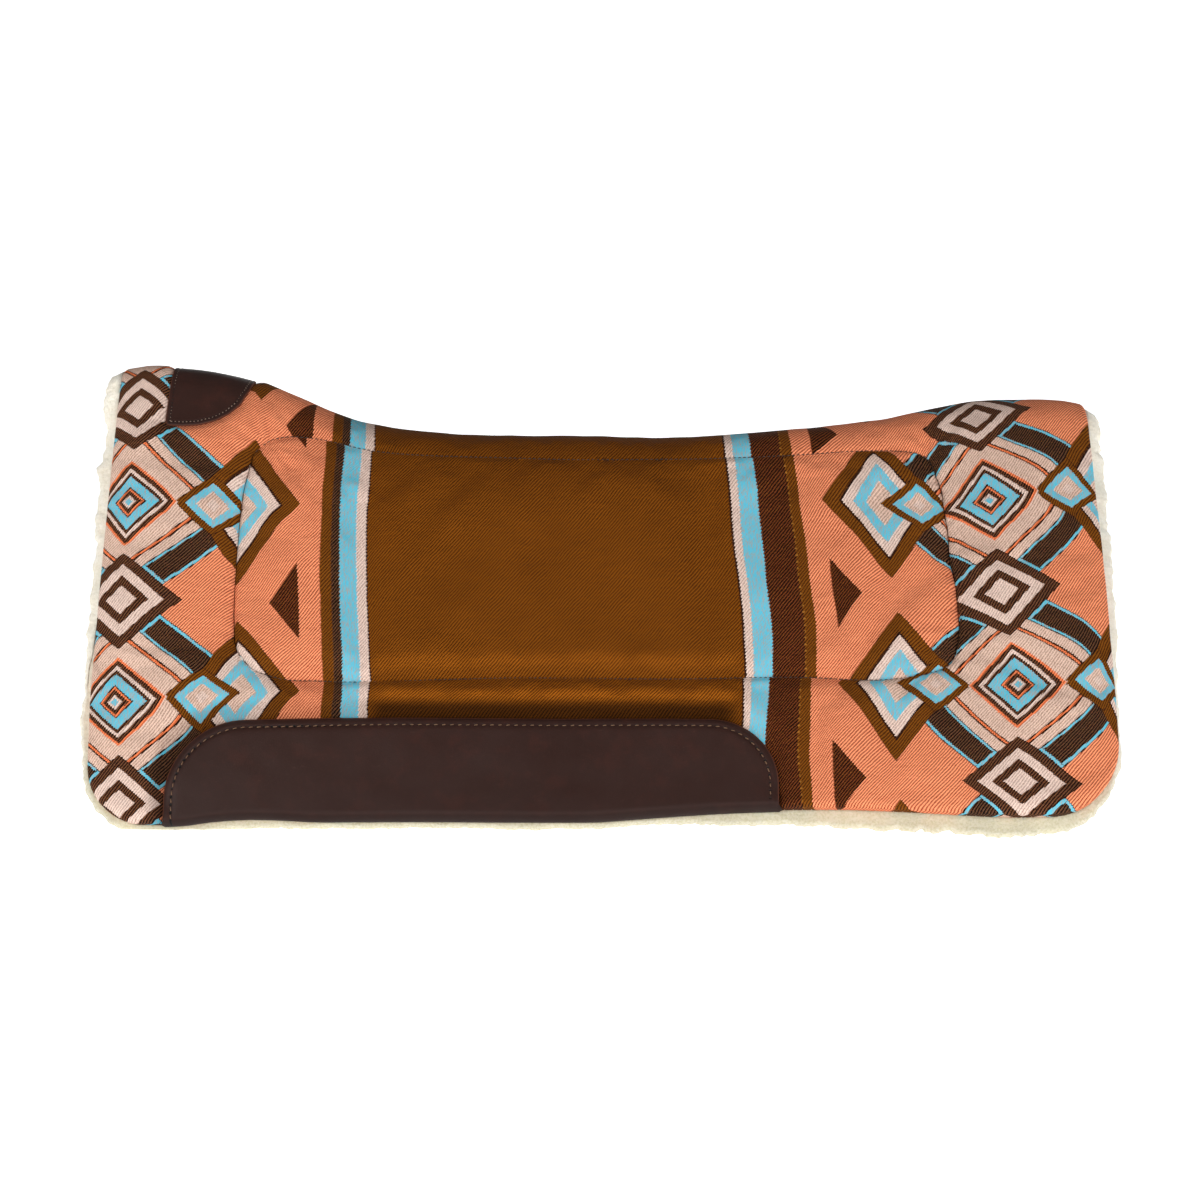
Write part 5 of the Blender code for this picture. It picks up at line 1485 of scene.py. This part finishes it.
def make_layers(side, mats):
    sign = -1.0 if side == "near" else 1.0
    us = np.linspace(-0.9925, 0.9925, 118)
    vs = np.linspace(0, 0.9925, 58)
    x, t = half_grid(us, vs, 0.0008)
    t = np.minimum(t, cover_edge(us)[:, None] - 0.003)
    d, depth, _, grow = seam_field(x, t)
    # grid points close to a line 3 mm beside the seam move onto it, so that the cut edges are smooth
    made = []
    slump = 0.0052 * np.exp(-(d / 0.007) ** 2) * np.minimum(depth / 0.007, 1.0)
    fuzz = 0.00035 * waves(x, t, 61, 0.03)
    edge = np.abs(nearest(x, t, outline_of(x, t), closed=False)[0])
    round_off = 0.0018 * np.exp(-edge / 0.004)
    pressed = press(nearest(x, t, PATCH_EDGE)[0]) + tuck(wear_box(x, t))
    top = surface(x, sign * t, -(CORE_TOP + 0.0001) - round_off * 0.4 + np.minimum(fuzz, 0))
    low = surface(x, sign * t, -(CORE_TOP + CORE - 0.0001) + round_off * 0.3 - np.minimum(fuzz, 0))
    core = solid_from_cells("felt_core_" + side, top, low, np.ones((len(us) - 1, len(vs) - 1), bool), side == "near")
    core.data.materials.append(mats["felt"])
    made.append(core)
    for name, inside, key, crown in (("bar_cushion_", True, "foam", 0.0), ("soft_wadding_", False, "wadding", 0.0)):
        gx, gt = x.copy(), t.copy()
        gap = -0.0026 if inside else 0.0026
        dd = d - gap
        close = np.abs(dd) < 0.0042
        gxx, gtt = grow[..., 0], grow[..., 1]
        gx = np.where(close, gx - dd * gxx, gx)
        gt = np.where(close, np.maximum(gt - dd * gtt, 0.0008), gt)
        d2 = seam_at(gx, gt)[0]
        mid = (d2[:-1, :-1] + d2[1:, :-1] + d2[1:, 1:] + d2[:-1, 1:]) / 4
        cells = (mid < gap - 0.0004) if inside else (mid > gap + 0.0004)
        fall = 0.0042 * np.exp(-((d2 - gap) / 0.006) ** 2) * np.minimum(depth / 0.007, 1.0)
        top = surface(gx, sign * gt, -(WADDING_TOP + 0.0002) - fall - np.minimum(round_off + pressed, 0.0048))
        low = surface(gx, sign * gt, np.full(gx.shape, -(WADDING_TOP + WADDING - 0.0001)))
        ob = solid_from_cells(name + side, top, low, cells, side == "near")
        ob.data.materials.append(mats[key])
        made.append(ob)
    return made


# --------------------------------------------------------------------------
# make the pieces and put them on their bodies
# --------------------------------------------------------------------------
WOVEN = woven_material("woven_cover")
HIDE = leather_material("leather")
PILE = fleece_material("fleece")
FELT = plain_material("felt", (176, 168, 156), (120, 112, 100), 55, 0.95, 0.0006)
FOAM = plain_material("insert_foam", (112, 116, 122), (78, 82, 88), 320, 0.85, 0.0004, 1800)
FILL = plain_material("wadding", (240, 238, 232), (214, 210, 200), 70, 0.95, 0.0009)
DARK_YARN = yarn_material("thread_dark", (70, 48, 34), (28, 18, 13))
TAN_YARN = yarn_material("thread_tan", (150, 112, 78), (78, 50, 32))
LIGHT_YARN = yarn_material("thread_light", (176, 150, 132), (112, 86, 70))
CREAM_YARN = yarn_material("thread_cream", (226, 210, 180), (176, 156, 124))


def place(ob, body=None, side=None, nodes=()):
    if side:
        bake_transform(ob)
    else:
        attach(ob, body)
    if nodes:
        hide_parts(*nodes)
    return ob


patch, patch_stitch = make_patch(HIDE)
patch_stitch.data.materials.append(LIGHT_YARN)
place(patch, body="spine", nodes=["wither_patch"])
place(patch_stitch, body="spine", nodes=["wither_patch_thread"])

for side in ("near", "far"):
    sign = -1.0 if side == "near" else 1.0
    cover = make_cover(side)
    cover.data.materials.append(WOVEN)
    place(cover, side=side, nodes=["cover_" + side, "cover_ridge_" + side])
    leather, leather_stitch = make_wear(side, HIDE)
    leather_stitch.data.materials.append(TAN_YARN)
    place(leather, body=side + "_side", nodes=["wear_leather_" + side])
    place(leather_stitch, body=side + "_side", nodes=["wear_leather_thread_" + side])
    fleece = make_fleece(side, PILE)
    place(fleece, side=side, nodes=["fleece_" + side, "fleece_ridge"])
    core, cushion, wadding = make_layers(side, {"felt": FELT, "foam": FOAM, "wadding": FILL})
    place(core, side=side, nodes=["core_" + side, "core_ridge"])
    place(cushion, side=side, nodes=["bar_insert_" + side])
    place(wadding, side=side, nodes=["border_wadding_" + side, "wadding_ridge"])

    # quilting round the bar, deep in its crease
    line = SEAM_LINE
    sunk = -line[:, 2] + 0.0003
    quilt = stitches("quilting_stitches_" + side, surface(line[:, 0], sign * line[:, 1], sunk), normals(line[:, 0], sign * line[:, 1]),
                     0.0040, 0.0011, 0.00038, 0.00034, 0.0007, closed=True)
    quilt.data.materials.append(DARK_YARN)
    place(quilt, side=side, nodes=["quilting_thread_" + side])

    # hem: the turned-down edge of the cover is sewn to the fleece behind it
    rim, _ = even(OUTLINE, 0.002)
    tangent = np.gradient(rim, axis=0)
    away = np.stack((-tangent[:, 1], tangent[:, 0]), -1)
    away /= np.linalg.norm(away, axis=1, keepdims=True)
    away *= np.sign((away * (rim - np.array((0.0, 0.15)))).sum(1, keepdims=True))
    level = -0.0118
    foot = surface(rim[:, 0], sign * rim[:, 1], np.full(len(rim), level))
    beyond = surface(rim[:, 0] + away[:, 0] * 0.002, sign * (rim[:, 1] + away[:, 1] * 0.002), np.full(len(rim), level))
    up = (beyond - foot) / 0.002
    half = np.argmin(np.abs(rim[:, 0] - 0.0) + (rim[:, 1] < 0.2) * 9)
    front_part = (np.arange(len(rim)) < half) & (rim[:, 1] > 0.006)
    rear_part = (np.arange(len(rim)) >= half) & (rim[:, 1] > 0.006)
    for end, mask in (("front", front_part), ("rear", rear_part)):
        hem = stitches("hem_stitches_%s_%s" % (end, side), foot[mask] + up[mask] * 0.0003, up[mask], 0.0072, 0.0020,
                       0.00040, 0.0005, 0.0008, slant=0.0022)
        hem.data.materials.append(CREAM_YARN)
        place(hem, side=side, nodes=["hem_thread_%s_%s" % (end, side)])

# the two halves of the cover are sewn together along the ridge
ridge_x = np.linspace(-0.276, 0.394, 340)
ridge = stitches("ridge_seam_stitches", surface(ridge_x, np.full(340, -0.0016), np.full(340, -0.0009)),
                 normals(ridge_x, np.full(340, -0.0016)), 0.0040, 0.0009, 0.00032, 0.00020, 0.0006)
ridge.data.materials.append(DARK_YARN)
place(ridge, body="spine", nodes=["ridge_seam_thread"])


# --------------------------------------------------------------------------
# camera, light and floor
# --------------------------------------------------------------------------
cam_data = bpy.data.cameras.new("camera")
cam_data.sensor_width = 36.0
cam_data.lens = 36.0 * FOCAL / 1200.0
cam_data.clip_start, cam_data.clip_end = 0.05, 60.0
camera = bpy.data.objects.new("camera", cam_data)
back = Vector((0.0, -math.cos(ELEVATION), math.sin(ELEVATION)))
camera.location = Vector(AIM) + back * DISTANCE
camera.rotation_mode = "QUATERNION"
camera.rotation_quaternion = (-back).to_track_quat("-Z", "Y")
bpy.context.scene.collection.objects.link(camera)
bpy.context.scene.camera = camera


def area_light(name, at, aim, size, power, colour=(1.0, 1.0, 1.0)):
    data = bpy.data.lights.new(name, "AREA")
    data.shape = "RECTANGLE"
    data.size, data.size_y = size
    data.energy = power
    data.color = colour
    ob = bpy.data.objects.new(name, data)
    ob.location = at
    ob.rotation_mode = "QUATERNION"
    ob.rotation_quaternion = (Vector(aim) - Vector(at)).to_track_quat("-Z", "Y")
    bpy.context.scene.collection.objects.link(ob)
    return ob


area_light("key", (-2.1, -3.0, 0.60), (0, 0, 0.15), (1.6, 0.9), 46, (1.0, 0.99, 0.975))
area_light("fill", (2.3, -2.5, 0.55), (0.1, 0, 0.15), (1.8, 0.9), 35, (0.985, 0.99, 1.0))
area_light("top", (0.0, 0.3, 2.6), (0, 0, 0.2), (2.6, 2.0), 2)
area_light("rear", (0.4, 2.6, 1.5), (0, 0, 0.2), (2.2, 1.2), 8)

world = bpy.data.worlds.new("studio")
world.use_nodes = True
world.node_tree.nodes["Background"].inputs["Color"].default_value = (1.0, 1.0, 1.0, 1.0)
world.node_tree.nodes["Background"].inputs["Strength"].default_value = 0.10
bpy.context.scene.world = world
bpy.context.scene.view_settings.view_transform = "Standard"
bpy.context.scene.view_settings.look = "None"
bpy.context.scene.view_settings.exposure = 0.0

# a pale floor that rises into a low backdrop a long way round the pad
floor_mat = Graph("studio_floor", (246, 246, 246))
tone = floor_mat.noise(floor_mat.place(), 3.0, 2)
floor_mat.put(floor_mat.bsdf.inputs["Base Color"], floor_mat.mix(tone, (0.93, 0.93, 0.93, 1), (0.95, 0.95, 0.95, 1)))
floor_mat.bsdf.inputs["Emission Color"].default_value = (1.0, 1.0, 1.0, 1.0)
floor_mat.bsdf.inputs["Emission Strength"].default_value = 0.85
floor_mat.bsdf.inputs["Roughness"].default_value = 0.9
floor_mat.bsdf.inputs["Specular IOR Level"].default_value = 0.1
verts, faces = [(0.0, 0.0, 0.0)], []
profile = [(1.5, 0.0), (3.5, 0.0), (6.0, 0.0)] + [(6.0 + 2.0 * math.sin(a), 2.0 - 2.0 * math.cos(a)) for a in np.linspace(0.1, math.pi / 2, 12)] + [(8.0, 2.4)]
around = 72
for r, z in profile:
    verts += [(r * math.cos(math.tau * k / around), r * math.sin(math.tau * k / around), z) for k in range(around)]
for k in range(around):
    faces.append([0, 1 + k, 1 + (k + 1) % around])
    for row in range(len(profile) - 1):
        a, b = 1 + row * around, 1 + (row + 1) * around
        faces.append([a + k, b + k, b + (k + 1) % around, a + (k + 1) % around])
floor = build("floor", verts, faces, False)
floor.data.materials.append(floor_mat.mat)
